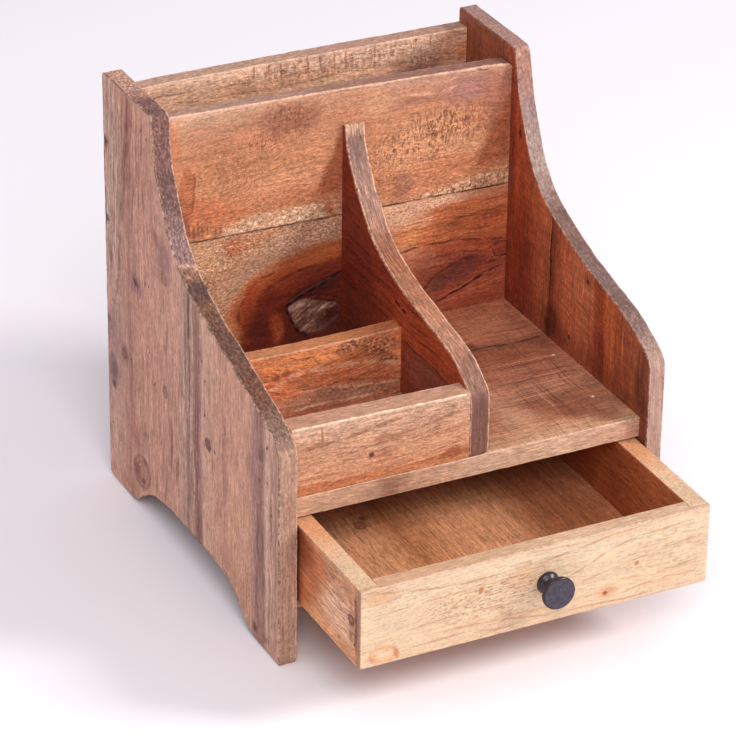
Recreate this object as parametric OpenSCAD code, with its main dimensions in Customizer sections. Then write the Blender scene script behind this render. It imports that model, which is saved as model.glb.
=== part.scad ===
// A small wooden desk organizer, free-standing.  Two ogee-cut side panels
// carry a back panel, a middle panel that closes off a letter slot, a
// shelf, a curved divider, a low front rail with a cross divider behind
// it, and a drawer that slides on two runners under the shelf.
// Millimetres, +Z up, the front looks along -Y.  The origin lies under the
// middle of the whole piece, drawer and knob included, on the desk top.
// It is drawn with the drawer part open, which is its rest position.

/* [Side panels] */
// Overall width over both side panels
body_w = 250; // [240:1:280]
// Depth of the side panels, front to back
body_d = 248; // [244:1:260]
// Height of the side panels
body_h = 276; // [274:1:282]
// Thickness of the left side panel
side_l_t = 12; // [10:0.5:14]
// Thickness of the right side panel
side_r_t = 10.5; // [10:0.5:14]
// Height of the arch cut under each side panel
arch_h = 24; // [16:1:25]
// Distance of the glued seam from the front, at its top
seam_y = 124; // [118:1:130]
// How far the left seam leans forward at its lower end
seam_lean = 14; // [0:1:16]

/* [Back and middle panels] */
// Thickness of the back panel
back_t = 11; // [8:0.5:13]
// Top of the back panel above the desk
back_top = 266; // [255:1:270]
// Lower edge of the back panel above the desk
back_foot = 26; // [24:1:30]
// Seam between the two back boards
back_seam = 148; // [125:1:160]
// Thickness of the middle panel
mid_t = 10; // [8:0.5:12]
// Front face of the middle panel, from the front of the side panels
mid_y = 178; // [177:1:182]
// Top of the middle panel at its left end
mid_top_l = 272; // [262:1:274]
// Top of the middle panel at its right end
mid_top_r = 266; // [262:1:274]
// Seam of the middle panel at its left end
mid_seam_l = 188; // [180:1:192]
// Seam of the middle panel at its right end
mid_seam_r = 185; // [180:1:192]

/* [Shelf] */
// Top face of the shelf above the desk
shelf_top = 105; // [104:1:106]
// Thickness of the shelf
shelf_t = 13; // [12:0.5:13]
// How far the shelf's front edge is set back
shelf_in = 8.5; // [6:0.5:10]

/* [Dividers] */
// Left face of the curved divider, from the left of the case
div_x = 125.5; // [110:0.5:140]
// Thickness of the curved divider
div_t = 13; // [10:0.5:14]
// Thickness of the low front rail
rail_t = 14.5; // [10:0.5:16]
// Top of the front rail at its left end
rail_top_l = 149.5; // [142:0.5:150]
// Top of the front rail at its right end
rail_top_r = 147.5; // [142:0.5:150]
// Front face of the cross divider
cross_y = 96.5; // [80:0.5:100]
// Thickness of the cross divider
cross_t = 11; // [8:0.5:12]
// Top of the cross divider
cross_top = 148.5; // [140:0.5:150]

/* [Drawer] */
// How far the drawer stands out of the case
drawer_open = 85.5; // [0:0.5:120]
// Side clearance between drawer and case
drawer_gap = 1.5; // [0.8:0.1:2.5]
// Height of the drawer front and sides
drawer_h = 51; // [48:0.5:51.5]
// Length of the drawer, front face to rear
drawer_l = 227; // [200:1:227]
// Thickness of the drawer front
front_t = 10; // [9:0.5:14]
// Lip of the front that covers the ends of the sides
front_lip = 3; // [2:0.5:4]
// Thickness of the drawer sides
dside_t = 12; // [9:0.5:13]
// Thickness of the drawer back
dback_t = 10; // [8:0.5:12]
// Thickness of the drawer bottom
dbot_t = 4; // [3:0.5:5]
// Depth of the grooves that hold the drawer bottom
groove = 4; // [3:0.5:5]
// Width of each drawer runner
runner_w = 10; // [8:0.5:14]
// Height of each drawer runner
runner_h = 8; // [6:0.5:8]

/* [Knob] */
// Diameter of the knob's flat disc
knob_d = 20.5; // [18:0.5:26]
// Diameter of the knob's round foot
knob_foot = 14; // [12:0.5:18]
// How far the knob stands out
knob_l = 14.5; // [13:0.5:20]
// Place of the knob across the case, from the left
knob_x = 132; // [110:0.5:140]
// Height of the knob above the desk
knob_z = 66.5; // [60:0.5:70]

/* [Fasteners] */
// Diameter of a nail
nail_d = 1.6; // [1.2:0.1:2]
// Diameter of a wood screw
screw_d = 3.5; // [3:0.1:4]
// Diameter of the filler plugs over the screw heads
plug_d = 7; // [7:0.5:9]

/* [Hidden] */
$fn = 32;
fit = 0.05;                                   // drilled holes round a fastener
inner_r = body_w - side_r_t;                  // inner face of the right panel
back_y = body_d - back_t;                     // front face of the back panel
front_y = shelf_in - drawer_open;             // front face of the drawer
lift = 0.3;                                   // running gap over the runners
runner_top = shelf_top - shelf_t - 52.5;
dz0 = runner_top + lift;                      // lower edge of the drawer
dz1 = dz0 + drawer_h;                         // upper edge of the drawer
dx0 = side_l_t + drawer_gap;
dx1 = inner_r - drawer_gap;
dy1 = front_y + drawer_l;
floor_z = dz0 + 2;                            // underside of the drawer bottom
origin_y = (body_d + front_y - knob_l) / 2;   // middle of the whole depth

// Fastener places, as [from the front, above the desk]
screw_at = [[28, 98.5], [97, 98.5], [160, 101.5], [222, 98.5]];
back_nails = [232, 180, 112, 40];
mid_nails = [258, 162, 118];
low_nails = [138, 115];

// Outline points, as [from the front, above the desk].  Each run is a
// smooth curve through a few places marked out by hand.
left_ogee = [[175, body_h - 3], [174, 262], [170, 243], [162, 226], [152, 209],
    [138, 195], [118, 184], [92, 175], [64, 167], [42, 160], [22, 154],
    [9, 148], [2, 142], [0, 136]];
right_ogee = [[175, body_h - 3], [172, 262], [168, 246], [160, 228], [150, 209],
    [133, 193], [108, 182], [84, 174], [60, 168], [38, 163], [19, 156],
    [6, 149], [1, 143], [0, 136]];
div_ogee = [[175, 246], [172, 234], [166, 222], [158, 211], [148, 199],
    [136, 188], [120, 180], [98, 173], [72, 168], [46, 163], [28, 158],
    [17, 151], [10, 145], [shelf_in, 138]];
arch = [[36, 0], [43, 5], [50, 10], [60, 16], [72, arch_h - 2.5], [90, arch_h - 0.5],
    [120, arch_h], [150, arch_h], [166, arch_h - 2], [178, arch_h - 3.5], [186, arch_h - 7],
    [196, 11], [204, 5], [213, 1.5], [222, 0]];

// ---- curves ----

// One stretch of a smooth curve through q, r with neighbours p, s
function stretch(p, q, r, s, t) =
    0.5 * (2 * q + (r - p) * t + (2 * p - 5 * q + 4 * r - s) * t * t
        + (3 * q - p - 3 * r + s) * t * t * t);

// A smooth curve through all the points of a list, n steps a stretch
function smooth(k, n) = let (m = len(k) - 1) concat(
    [for (i = [0:m - 1]) for (j = [0:n - 1])
        stretch(k[max(i - 1, 0)], k[i], k[i + 1], k[min(i + 2, m)], j / n)],
    [k[m]]);

// ---- places and directions ----

module place() translate([-body_w / 2, -origin_y, 0]) children();

// Stands an outline of [from the front, above the desk] up as a board
module upright(x, t) translate([x, 0, 0]) rotate([90, 0, 90])
    linear_extrude(height = t) children();

// Stands an outline of [from the left, above the desk] up as a board
module facing(y, t) translate([0, y + t, 0]) rotate([90, 0, 0])
    linear_extrude(height = t) children();

module block(a, b) translate(a) cube(b - a);

module point_right(x, y, z) translate([x, y, z]) rotate([0, 90, 0]) children();
module point_left(x, y, z) translate([x, y, z]) rotate([0, -90, 0]) children();
module point_front(x, y, z) translate([x, y, z]) rotate([90, 0, 0]) children();
module point_up(x, y, z) translate([x, y, z]) children();

// ---- fasteners, each along +Z from the face that it goes in at ----

module nail(l) {
    translate([0, 0, 0.4]) cylinder(d = 1.4 * nail_d, h = 0.9);
    translate([0, 0, 1.3]) cylinder(d = nail_d, h = l - 4.3);
    translate([0, 0, l - 3]) cylinder(d1 = nail_d, d2 = 0.4, h = 3);
}
module nail_hole(l) {
    translate([0, 0, -1]) cylinder(d = 1.4 * nail_d + 2 * fit, h = 2.3 + fit);
    cylinder(d = nail_d + 2 * fit, h = l + fit);
}
module wood_screw(l) {
    translate([0, 0, 2]) cylinder(d1 = plug_d - 0.4, d2 = screw_d, h = 2.4);
    translate([0, 0, 4.4]) cylinder(d = screw_d, h = l - 9.4);
    translate([0, 0, l - 5]) cylinder(d1 = screw_d, d2 = 0.6, h = 5);
}
module screw_hole(l) {
    translate([0, 0, -1]) cylinder(d = plug_d + 2 * fit, h = 3 + fit);
    translate([0, 0, 2]) cylinder(d1 = plug_d, d2 = screw_d + 2 * fit, h = 2.6);
    cylinder(d = screw_d + 2 * fit, h = l + fit);
}
module plug() cylinder(d = plug_d, h = 2);

// ---- what goes in from the left and from the right ----

module from_left(kind) {
    if (kind == "screw" || kind == "screw_hole" || kind == "plug")
        for (p = screw_at) point_right(0, p[0], p[1]) {
            if (kind == "screw") wood_screw(34);
            if (kind == "screw_hole") screw_hole(34);
            if (kind == "plug") plug();
        }
    if (kind == "nail" || kind == "nail_hole") {
        for (z = back_nails) point_right(0, back_y + back_t / 2, z) a_nail(kind, 30);
        for (z = mid_nails) point_right(0, mid_y + mid_t / 2, z) a_nail(kind, 30);
        for (z = low_nails) point_right(0, shelf_in + rail_t / 2, z) a_nail(kind, 30);
        for (z = low_nails) point_right(0, cross_y + cross_t / 2, z) a_nail(kind, 30);
    }
}
module from_right(kind) {
    if (kind == "screw" || kind == "screw_hole" || kind == "plug")
        for (p = screw_at) point_left(body_w, p[0], p[1]) {
            if (kind == "screw") wood_screw(34);
            if (kind == "screw_hole") screw_hole(34);
            if (kind == "plug") plug();
        }
    if (kind == "nail" || kind == "nail_hole") {
        for (z = back_nails) point_left(body_w, back_y + back_t / 2, z) a_nail(kind, 30);
        for (z = mid_nails) point_left(body_w, mid_y + mid_t / 2, z) a_nail(kind, 30);
    }
}
module a_nail(kind, l) {
    if (kind == "nail") nail(l);
    if (kind == "nail_hole") nail_hole(l);
}
// Nails that hold the curved divider, the rail and the cross divider
module divider_set(kind) {
    for (z = [200, 165, 125]) point_front(div_x + div_t / 2, mid_y + mid_t, z) a_nail(kind, 30);
    for (y = [50, 135]) point_up(div_x + div_t / 2, y, shelf_top - shelf_t) a_nail(kind, 34);
    for (z = low_nails) point_left(div_x + div_t, shelf_in + rail_t / 2, z) a_nail(kind, 30);
    for (z = low_nails) point_left(div_x + div_t, cross_y + cross_t / 2, z) a_nail(kind, 30);
}
// Nails through the runners into the side panels
module runner_set(kind) {
    for (y = [40, 160, 225]) {
        point_left(side_l_t + runner_w, y, runner_top - runner_h / 2) a_nail(kind, 17);
        point_right(inner_r - runner_w, y, runner_top - runner_h / 2) a_nail(kind, 17);
    }
}
// Nails that hold the drawer together
module drawer_set(kind) {
    for (z = [dz0 + 13, dz1 - 10]) {
        point_right(dx0, front_y + (front_lip + front_t) / 2, z) a_nail(kind, 28);
        point_left(dx1, front_y + (front_lip + front_t) / 2, z) a_nail(kind, 28);
        point_right(dx0, dy1 - dback_t / 2, z) a_nail(kind, 28);
        point_left(dx1, dy1 - dback_t / 2, z) a_nail(kind, 28);
    }
    for (x = [60, 125, 190]) point_up(x, dy1 - dback_t / 2, floor_z) a_nail(kind, 20);
}

// ---- side panels ----

module side_outline(ogee) polygon(concat(
    [[body_d, 0], [body_d, body_h - 3], [body_d - 1, body_h - 1], [body_d - 3, body_h],
     [178, body_h], [176, body_h - 1]],
    smooth(ogee, 4), [[0, 2], [1, 0.5], [2, 0]], smooth(arch, 3)));

module ahead_of_seam(lean) polygon([[-5, -5], [seam_y - lean, -5], [seam_y - lean, 24],
    [seam_y, 186], [seam_y, body_h + 5], [-5, body_h + 5]]);

module left_side_front_board() color([0.69, 0.50, 0.40]) difference() {
    upright(0, side_l_t) intersection() {
        side_outline(left_ogee);
        ahead_of_seam(seam_lean);
    }
    from_left("screw_hole");
    from_left("nail_hole");
    runner_set("nail_hole");
}
module left_side_rear_board() color([0.64, 0.46, 0.38]) difference() {
    upright(0, side_l_t) difference() {
        side_outline(left_ogee);
        ahead_of_seam(seam_lean);
    }
    from_left("screw_hole");
    from_left("nail_hole");
    runner_set("nail_hole");
}
module right_side_front_board() color([0.62, 0.34, 0.20]) difference() {
    upright(inner_r, side_r_t) intersection() {
        side_outline(right_ogee);
        ahead_of_seam(0);
    }
    from_right("screw_hole");
    from_right("nail_hole");
    runner_set("nail_hole");
}
module right_side_rear_board() color([0.50, 0.26, 0.16]) difference() {
    upright(inner_r, side_r_t) difference() {
        side_outline(right_ogee);
        ahead_of_seam(0);
    }
    from_right("screw_hole");
    from_right("nail_hole");
    runner_set("nail_hole");
}

// ---- back and middle panels ----

module back_panel_upper_board() color([0.72, 0.54, 0.36]) difference() {
    block([side_l_t, back_y, back_seam], [inner_r, body_d, back_top]);
    from_left("nail_hole");
    from_right("nail_hole");
}
module back_panel_lower_board() color([0.66, 0.48, 0.32]) difference() {
    block([side_l_t, back_y, back_foot], [inner_r, body_d, back_seam]);
    from_left("nail_hole");
    from_right("nail_hole");
}
module middle_panel_upper_board() color([0.77, 0.49, 0.30]) difference() {
    facing(mid_y, mid_t) polygon([[side_l_t, mid_seam_l], [inner_r, mid_seam_r],
        [inner_r, mid_top_r], [side_l_t, mid_top_l]]);
    from_left("nail_hole");
    from_right("nail_hole");
    divider_set("nail_hole");
}
module middle_panel_lower_board() color([0.63, 0.34, 0.18]) difference() {
    facing(mid_y, mid_t) polygon([[side_l_t, shelf_top], [inner_r, shelf_top],
        [inner_r, mid_seam_r], [side_l_t, mid_seam_l]]);
    from_left("nail_hole");
    from_right("nail_hole");
    divider_set("nail_hole");
}

// ---- shelf ----

module shelf_front_board() color([0.62, 0.43, 0.30]) difference() {
    block([side_l_t, shelf_in, shelf_top - shelf_t], [inner_r, seam_y, shelf_top]);
    from_left("screw_hole");
    from_right("screw_hole");
    divider_set("nail_hole");
}
module shelf_rear_board() color([0.60, 0.41, 0.29]) difference() {
    block([side_l_t, seam_y, shelf_top - shelf_t], [inner_r, back_y, shelf_top]);
    from_left("screw_hole");
    from_right("screw_hole");
    divider_set("nail_hole");
}

// ---- dividers ----

module curved_divider() color([0.58, 0.32, 0.20]) difference() {
    upright(div_x, div_t) polygon(concat(
        [[mid_y, shelf_top], [mid_y, 246]],
        smooth(div_ogee, 4), [[shelf_in, shelf_top]]));
    divider_set("nail_hole");
}
module front_rail() color([0.80, 0.55, 0.38]) difference() {
    facing(shelf_in, rail_t) polygon([[side_l_t, shelf_top], [div_x, shelf_top],
        [div_x, rail_top_r], [side_l_t, rail_top_l]]);
    from_left("nail_hole");
    divider_set("nail_hole");
}
module cross_divider() color([0.72, 0.42, 0.24]) difference() {
    block([side_l_t, cross_y, shelf_top], [div_x, cross_y + cross_t, cross_top]);
    from_left("nail_hole");
    divider_set("nail_hole");
}

// ---- drawer runners ----

module drawer_runner_left() color([0.55, 0.42, 0.32]) difference() {
    block([side_l_t, shelf_in, runner_top - runner_h],
        [side_l_t + runner_w, back_y, runner_top]);
    runner_set("nail_hole");
}
module drawer_runner_right() color([0.55, 0.42, 0.32]) difference() {
    block([inner_r - runner_w, shelf_in, runner_top - runner_h],
        [inner_r, back_y, runner_top]);
    runner_set("nail_hole");
}

// ---- drawer ----

// The front is rabbeted at both ends, so a thin lip covers the sides
module drawer_front() color([0.90, 0.72, 0.53]) difference() {
    block([dx0, front_y, dz0], [dx1, front_y + front_t, dz1]);
    block([dx0 - 1, front_y + front_lip, dz0 - 1],
        [dx0 + dside_t, front_y + front_t + 1, dz1 + 1]);
    block([dx1 - dside_t, front_y + front_lip, dz0 - 1],
        [dx1 + 1, front_y + front_t + 1, dz1 + 1]);
    block([dx0, front_y + front_t - groove, floor_z],
        [dx1, front_y + front_t + 1, floor_z + dbot_t]);
    point_front(knob_x, front_y + front_t + 1, knob_z)
        cylinder(d = 4 + 2 * fit, h = front_t + 2);
    drawer_set("nail_hole");
}
module drawer_side(x, groove_x) difference() {
    block([x, front_y + front_lip, dz0], [x + dside_t, dy1, dz1]);
    block([groove_x, front_y, floor_z], [groove_x + groove + 1, dy1 + 1, floor_z + dbot_t]);
    drawer_set("nail_hole");
}
module drawer_side_left() color([0.78, 0.48, 0.28])
    drawer_side(dx0, dx0 + dside_t - groove);
module drawer_side_right() color([0.74, 0.46, 0.28])
    drawer_side(dx1 - dside_t, dx1 - dside_t - 1);
module drawer_back() color([0.70, 0.46, 0.30]) difference() {
    block([dx0 + dside_t, dy1 - dback_t, floor_z + dbot_t],
        [dx1 - dside_t, dy1, dz1 - 1]);
    drawer_set("nail_hole");
}
module drawer_bottom() color([0.60, 0.40, 0.26]) difference() {
    block([dx0 + dside_t - groove + 0.2, front_y + front_t - groove + 0.2, floor_z],
        [dx1 - dside_t + groove - 0.2, dy1, floor_z + dbot_t]);
    drawer_set("nail_hole");
}

// ---- knob ----

// A flat disc on a waisted neck with a round foot, turned in one piece
module drawer_knob() color([0.16, 0.15, 0.17])
    point_front(knob_x, front_y, knob_z) rotate_extrude($fn = 64) polygon(concat(
        [[2, 0], [knob_foot / 2, 0], [knob_foot / 2, 1]],
        smooth([[knob_foot / 2, 1], [knob_foot / 2 - 0.8, 2.2], [4.6, 3.6], [3.8, 5.4],
            [3.7, 7.5], [4.4, 9.4], [6.6, knob_l - 3.6], [knob_d / 2 - 0.8, knob_l - 2.9]], 3),
        [[knob_d / 2, knob_l - 2.2], [knob_d / 2, knob_l - 0.9],
         [knob_d / 2 - 0.3, knob_l - 0.3], [knob_d / 2 - 0.9, knob_l],
         [0, knob_l], [0, 9], [2, 9]]));
module knob_screw() color([0.70, 0.70, 0.68]) difference() {
    point_front(knob_x, front_y + front_t + 0.8, knob_z) union() {
        cylinder(d = 4, h = front_t + 0.8 + 8);
        translate([0, 0, -2.4]) cylinder(d = 8, h = 2.4);
    }
    block([knob_x - 5, front_y + front_t + 2.2, knob_z - 0.5],
        [knob_x + 5, front_y + front_t + 4, knob_z + 0.5]);
}
module knob_washer() color([0.62, 0.62, 0.60])
    point_front(knob_x, front_y + front_t + 0.8, knob_z) difference() {
        cylinder(d = 10, h = 0.8);
        translate([0, 0, -1]) cylinder(d = 4.2, h = 3);
    }

// ---- screws, plugs and nails ----

module left_shelf_screws() color([0.60, 0.58, 0.52]) from_left("screw");
module right_shelf_screws() color([0.60, 0.58, 0.52]) from_right("screw");
module left_screw_plugs() color([0.40, 0.25, 0.20]) from_left("plug");
module right_screw_plugs() color([0.40, 0.25, 0.20]) from_right("plug");
module left_panel_nails() color([0.35, 0.32, 0.30]) from_left("nail");
module right_panel_nails() color([0.35, 0.32, 0.30]) from_right("nail");
module divider_nails() color([0.35, 0.32, 0.30]) divider_set("nail");
module runner_nails() color([0.35, 0.32, 0.30]) runner_set("nail");
module drawer_nails() color([0.35, 0.32, 0.30]) drawer_set("nail");

place() left_side_front_board();
place() left_side_rear_board();
place() right_side_front_board();
place() right_side_rear_board();
place() back_panel_upper_board();
place() back_panel_lower_board();
place() middle_panel_upper_board();
place() middle_panel_lower_board();
place() shelf_front_board();
place() shelf_rear_board();
place() curved_divider();
place() front_rail();
place() cross_divider();
place() drawer_runner_left();
place() drawer_runner_right();
place() drawer_front();
place() drawer_side_left();
place() drawer_side_right();
place() drawer_back();
place() drawer_bottom();
place() drawer_knob();
place() knob_screw();
place() knob_washer();
place() left_shelf_screws();
place() right_shelf_screws();
place() left_screw_plugs();
place() right_screw_plugs();
place() left_panel_nails();
place() right_panel_nails();
place() divider_nails();
place() runner_nails();
place() drawer_nails();
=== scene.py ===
import math

import bmesh
import bpy
import numpy as np
from mathutils import Matrix, Vector, geometry, noise


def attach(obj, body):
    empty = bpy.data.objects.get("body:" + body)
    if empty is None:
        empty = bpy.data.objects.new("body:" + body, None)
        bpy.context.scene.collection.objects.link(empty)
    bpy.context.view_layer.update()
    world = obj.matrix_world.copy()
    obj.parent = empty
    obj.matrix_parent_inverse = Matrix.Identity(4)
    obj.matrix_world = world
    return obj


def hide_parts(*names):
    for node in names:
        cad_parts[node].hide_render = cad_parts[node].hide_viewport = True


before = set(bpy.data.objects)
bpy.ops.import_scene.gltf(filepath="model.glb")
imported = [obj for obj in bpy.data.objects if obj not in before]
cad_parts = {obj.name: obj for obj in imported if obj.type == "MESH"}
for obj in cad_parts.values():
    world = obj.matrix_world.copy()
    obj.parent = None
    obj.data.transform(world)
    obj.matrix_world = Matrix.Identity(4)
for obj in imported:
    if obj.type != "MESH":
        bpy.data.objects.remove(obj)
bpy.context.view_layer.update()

# Places below are written in millimetres: across from the left of the case,
# back from the front of the side panels, up from the desk.
OX, OY = 125.0, 78.25

# ---------------------------------------------------------------- camera ----
cam_data = bpy.data.cameras.new("camera")
camera = bpy.data.objects.new("camera", cam_data)
bpy.context.scene.collection.objects.link(camera)
look = Vector((0.394746, 0.786383, -0.475159)).normalized()
right = Vector((0.896626, -0.442615, 0.012364))
right = (right - look * right.dot(look)).normalized()
turn = Matrix((right, right.cross(look).normalized(), -look)).transposed().to_4x4()
turn.translation = (-0.90199, -1.73010, 1.17874)
camera.matrix_world = turn
cam_data.sensor_width = 36
cam_data.lens = 183.7
cam_data.shift_x = 0.0063
cam_data.shift_y = 0.0086
cam_data.clip_start, cam_data.clip_end = 0.1, 60
bpy.context.scene.camera = camera

# ------------------------------------------------------------ case sizes ----
W, D, H = 250.0, 248.0, 276.0
LT, RI = 12.0, 239.5                      # left panel's and right panel's inner faces
BACK_Y, MID_Y, MID_T = 237.0, 178.0, 10.0
SHELF, SHELF_T, IN = 105.0, 13.0, 8.5
DIV, DIV_T = 125.5, 13.0
FRONT = -77.0                             # drawer front's face
DZ0, DZ1 = 39.8, 90.8
DX0, DX1 = 13.5, 238.0
DEND = 150.0


def smooth(k, n):
    """A smooth curve through the places in k, n steps a stretch."""
    out, m = [], len(k) - 1
    for i in range(m):
        p, q, r, s = (np.array(k[j], float) for j in (max(i - 1, 0), i, i + 1, min(i + 2, m)))
        for j in range(n):
            t = j / n
            out.append(tuple(0.5 * (2 * q + (r - p) * t + (2 * p - 5 * q + 4 * r - s) * t * t
                                    + (3 * q - p - 3 * r + s) * t ** 3)))
    return out + [tuple(map(float, k[m]))]


LEFT_OGEE = [(175, 273), (174, 262), (170, 243), (162, 226), (152, 209), (138, 195), (118, 184),
             (92, 175), (64, 167), (42, 160), (22, 154), (9, 148), (2, 142), (0, 136)]
RIGHT_OGEE = [(175, 273), (172, 262), (168, 246), (160, 228), (150, 209), (133, 193), (108, 182),
              (84, 174), (60, 168), (38, 163), (19, 156), (6, 149), (1, 143), (0, 136)]
DIV_OGEE = [(175, 246), (172, 234), (166, 222), (158, 211), (148, 199), (136, 188), (120, 180),
            (98, 173), (72, 168), (46, 163), (28, 158), (17, 151), (10, 145), (8.5, 138)]
ARCH = [(36, 0), (43, 5), (50, 10), (60, 16), (72, 21.5), (90, 23.5), (120, 24), (150, 24),
        (166, 22), (178, 20.5), (186, 17), (196, 11), (204, 5), (213, 1.5), (222, 0)]


# ---------------------------------------------------------- mesh helpers ----
def rnd(x, y, z, scale, seed=0.0):
    """Smooth noise, about -1 to 1, for a place in millimetres."""
    return noise.noise(Vector((x / scale + seed * 7.31, y / scale - seed * 3.17, z / scale + seed * 1.73)))


def prepare(pts, tags, step, round_free, round_tight):
    """Rounds an outline's corners and walks it in even steps.
    Gives points, inward normals, and 1 for worn edges or 0 for joined ones."""
    n = len(pts)
    P = [np.array(p, float) for p in pts]
    keys = []                              # (point, tag of the edge that follows)
    for i in range(n):
        a, b, c = P[i - 1], P[i], P[(i + 1) % n]
        d1, d2 = (b - a) / np.linalg.norm(b - a), (c - b) / np.linalg.norm(c - b)
        cross = d1[0] * d2[1] - d1[1] * d2[0]
        ang = math.atan2(cross, d1 @ d2)
        if ang > 0.35:
            free = tags[i - 1] == "f" and tags[i] == "f"
            r = round_free if free else round_tight
            t = min(r * math.tan(ang / 2), 0.45 * np.linalg.norm(b - a), 0.45 * np.linalg.norm(c - b))
            r = t / math.tan(ang / 2)
            n1 = np.array([-d1[1], d1[0]])
            centre = b - d1 * t + n1 * r
            steps = 4 if r > 0.6 else 2
            for k in range(steps + 1):
                f = ang * k / steps
                nn = np.array([n1[0] * math.cos(f) - n1[1] * math.sin(f), n1[0] * math.sin(f) + n1[1] * math.cos(f)])
                tag = tags[i] if k == steps else ("f" if free else "t")
                keys.append((centre - nn * r, tag))
        else:
            keys.append((b, tags[i]))
    out, kind = [], []
    m = len(keys)
    for i in range(m):
        a, tag = keys[i]
        b = keys[(i + 1) % m][0]
        L = np.linalg.norm(b - a)
        if L < 1e-6:
            continue
        k = max(1, int(math.ceil(L / step)))
        for j in range(k):
            out.append(a + (b - a) * j / k)
            kind.append(tag)
    out = np.array(out)
    e = np.roll(out, -1, 0) - out
    e /= np.linalg.norm(e, axis=1)[:, None]
    t = e + np.roll(e, 1, 0)
    t /= np.linalg.norm(t, axis=1)[:, None]
    normal = np.stack([-t[:, 1], t[:, 0]], 1)
    worn = np.array([1.0 if (kind[i] == "f" and kind[i - 1] == "f") else (0.35 if "s" in (kind[i], kind[i - 1]) else 0.0)
                     for i in range(len(kind))])
    return out, normal, worn


def seg_dist(p, a, b):
    """Distance of points p (n,2) to the segment from a to b."""
    a, b = np.array(a, float), np.array(b, float)
    d = b - a
    t = np.clip(((p - a) @ d) / (d @ d), 0, 1)
    return np.linalg.norm(p - a - t[:, None] * d, axis=1)


def inside(p, poly):
    """Which points lie inside the polygon."""
    x, y = p[:, 0], p[:, 1]
    hit = np.zeros(len(p), bool)
    j = len(poly) - 1
    for i in range(len(poly)):
        xi, yi = poly[i]
        xj, yj = poly[j]
        if yi != yj:
            hit ^= ((yi > y) != (yj > y)) & (x < (xj - xi) * (y - yi) / (yj - yi) + xi)
        j = i
    return hit


PLANES = {  # (u, v, w) of a board to across, back, up
    "yz": lambda u, v, w: (w, u, v),
    "xz": lambda u, v, w: (u, w, v),
    "xy": lambda u, v, w: (u, v, w),
}


def to_metres(p):
    return ((p[0] - OX) / 1000, (p[1] - OY) / 1000, p[2] / 1000)


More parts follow.
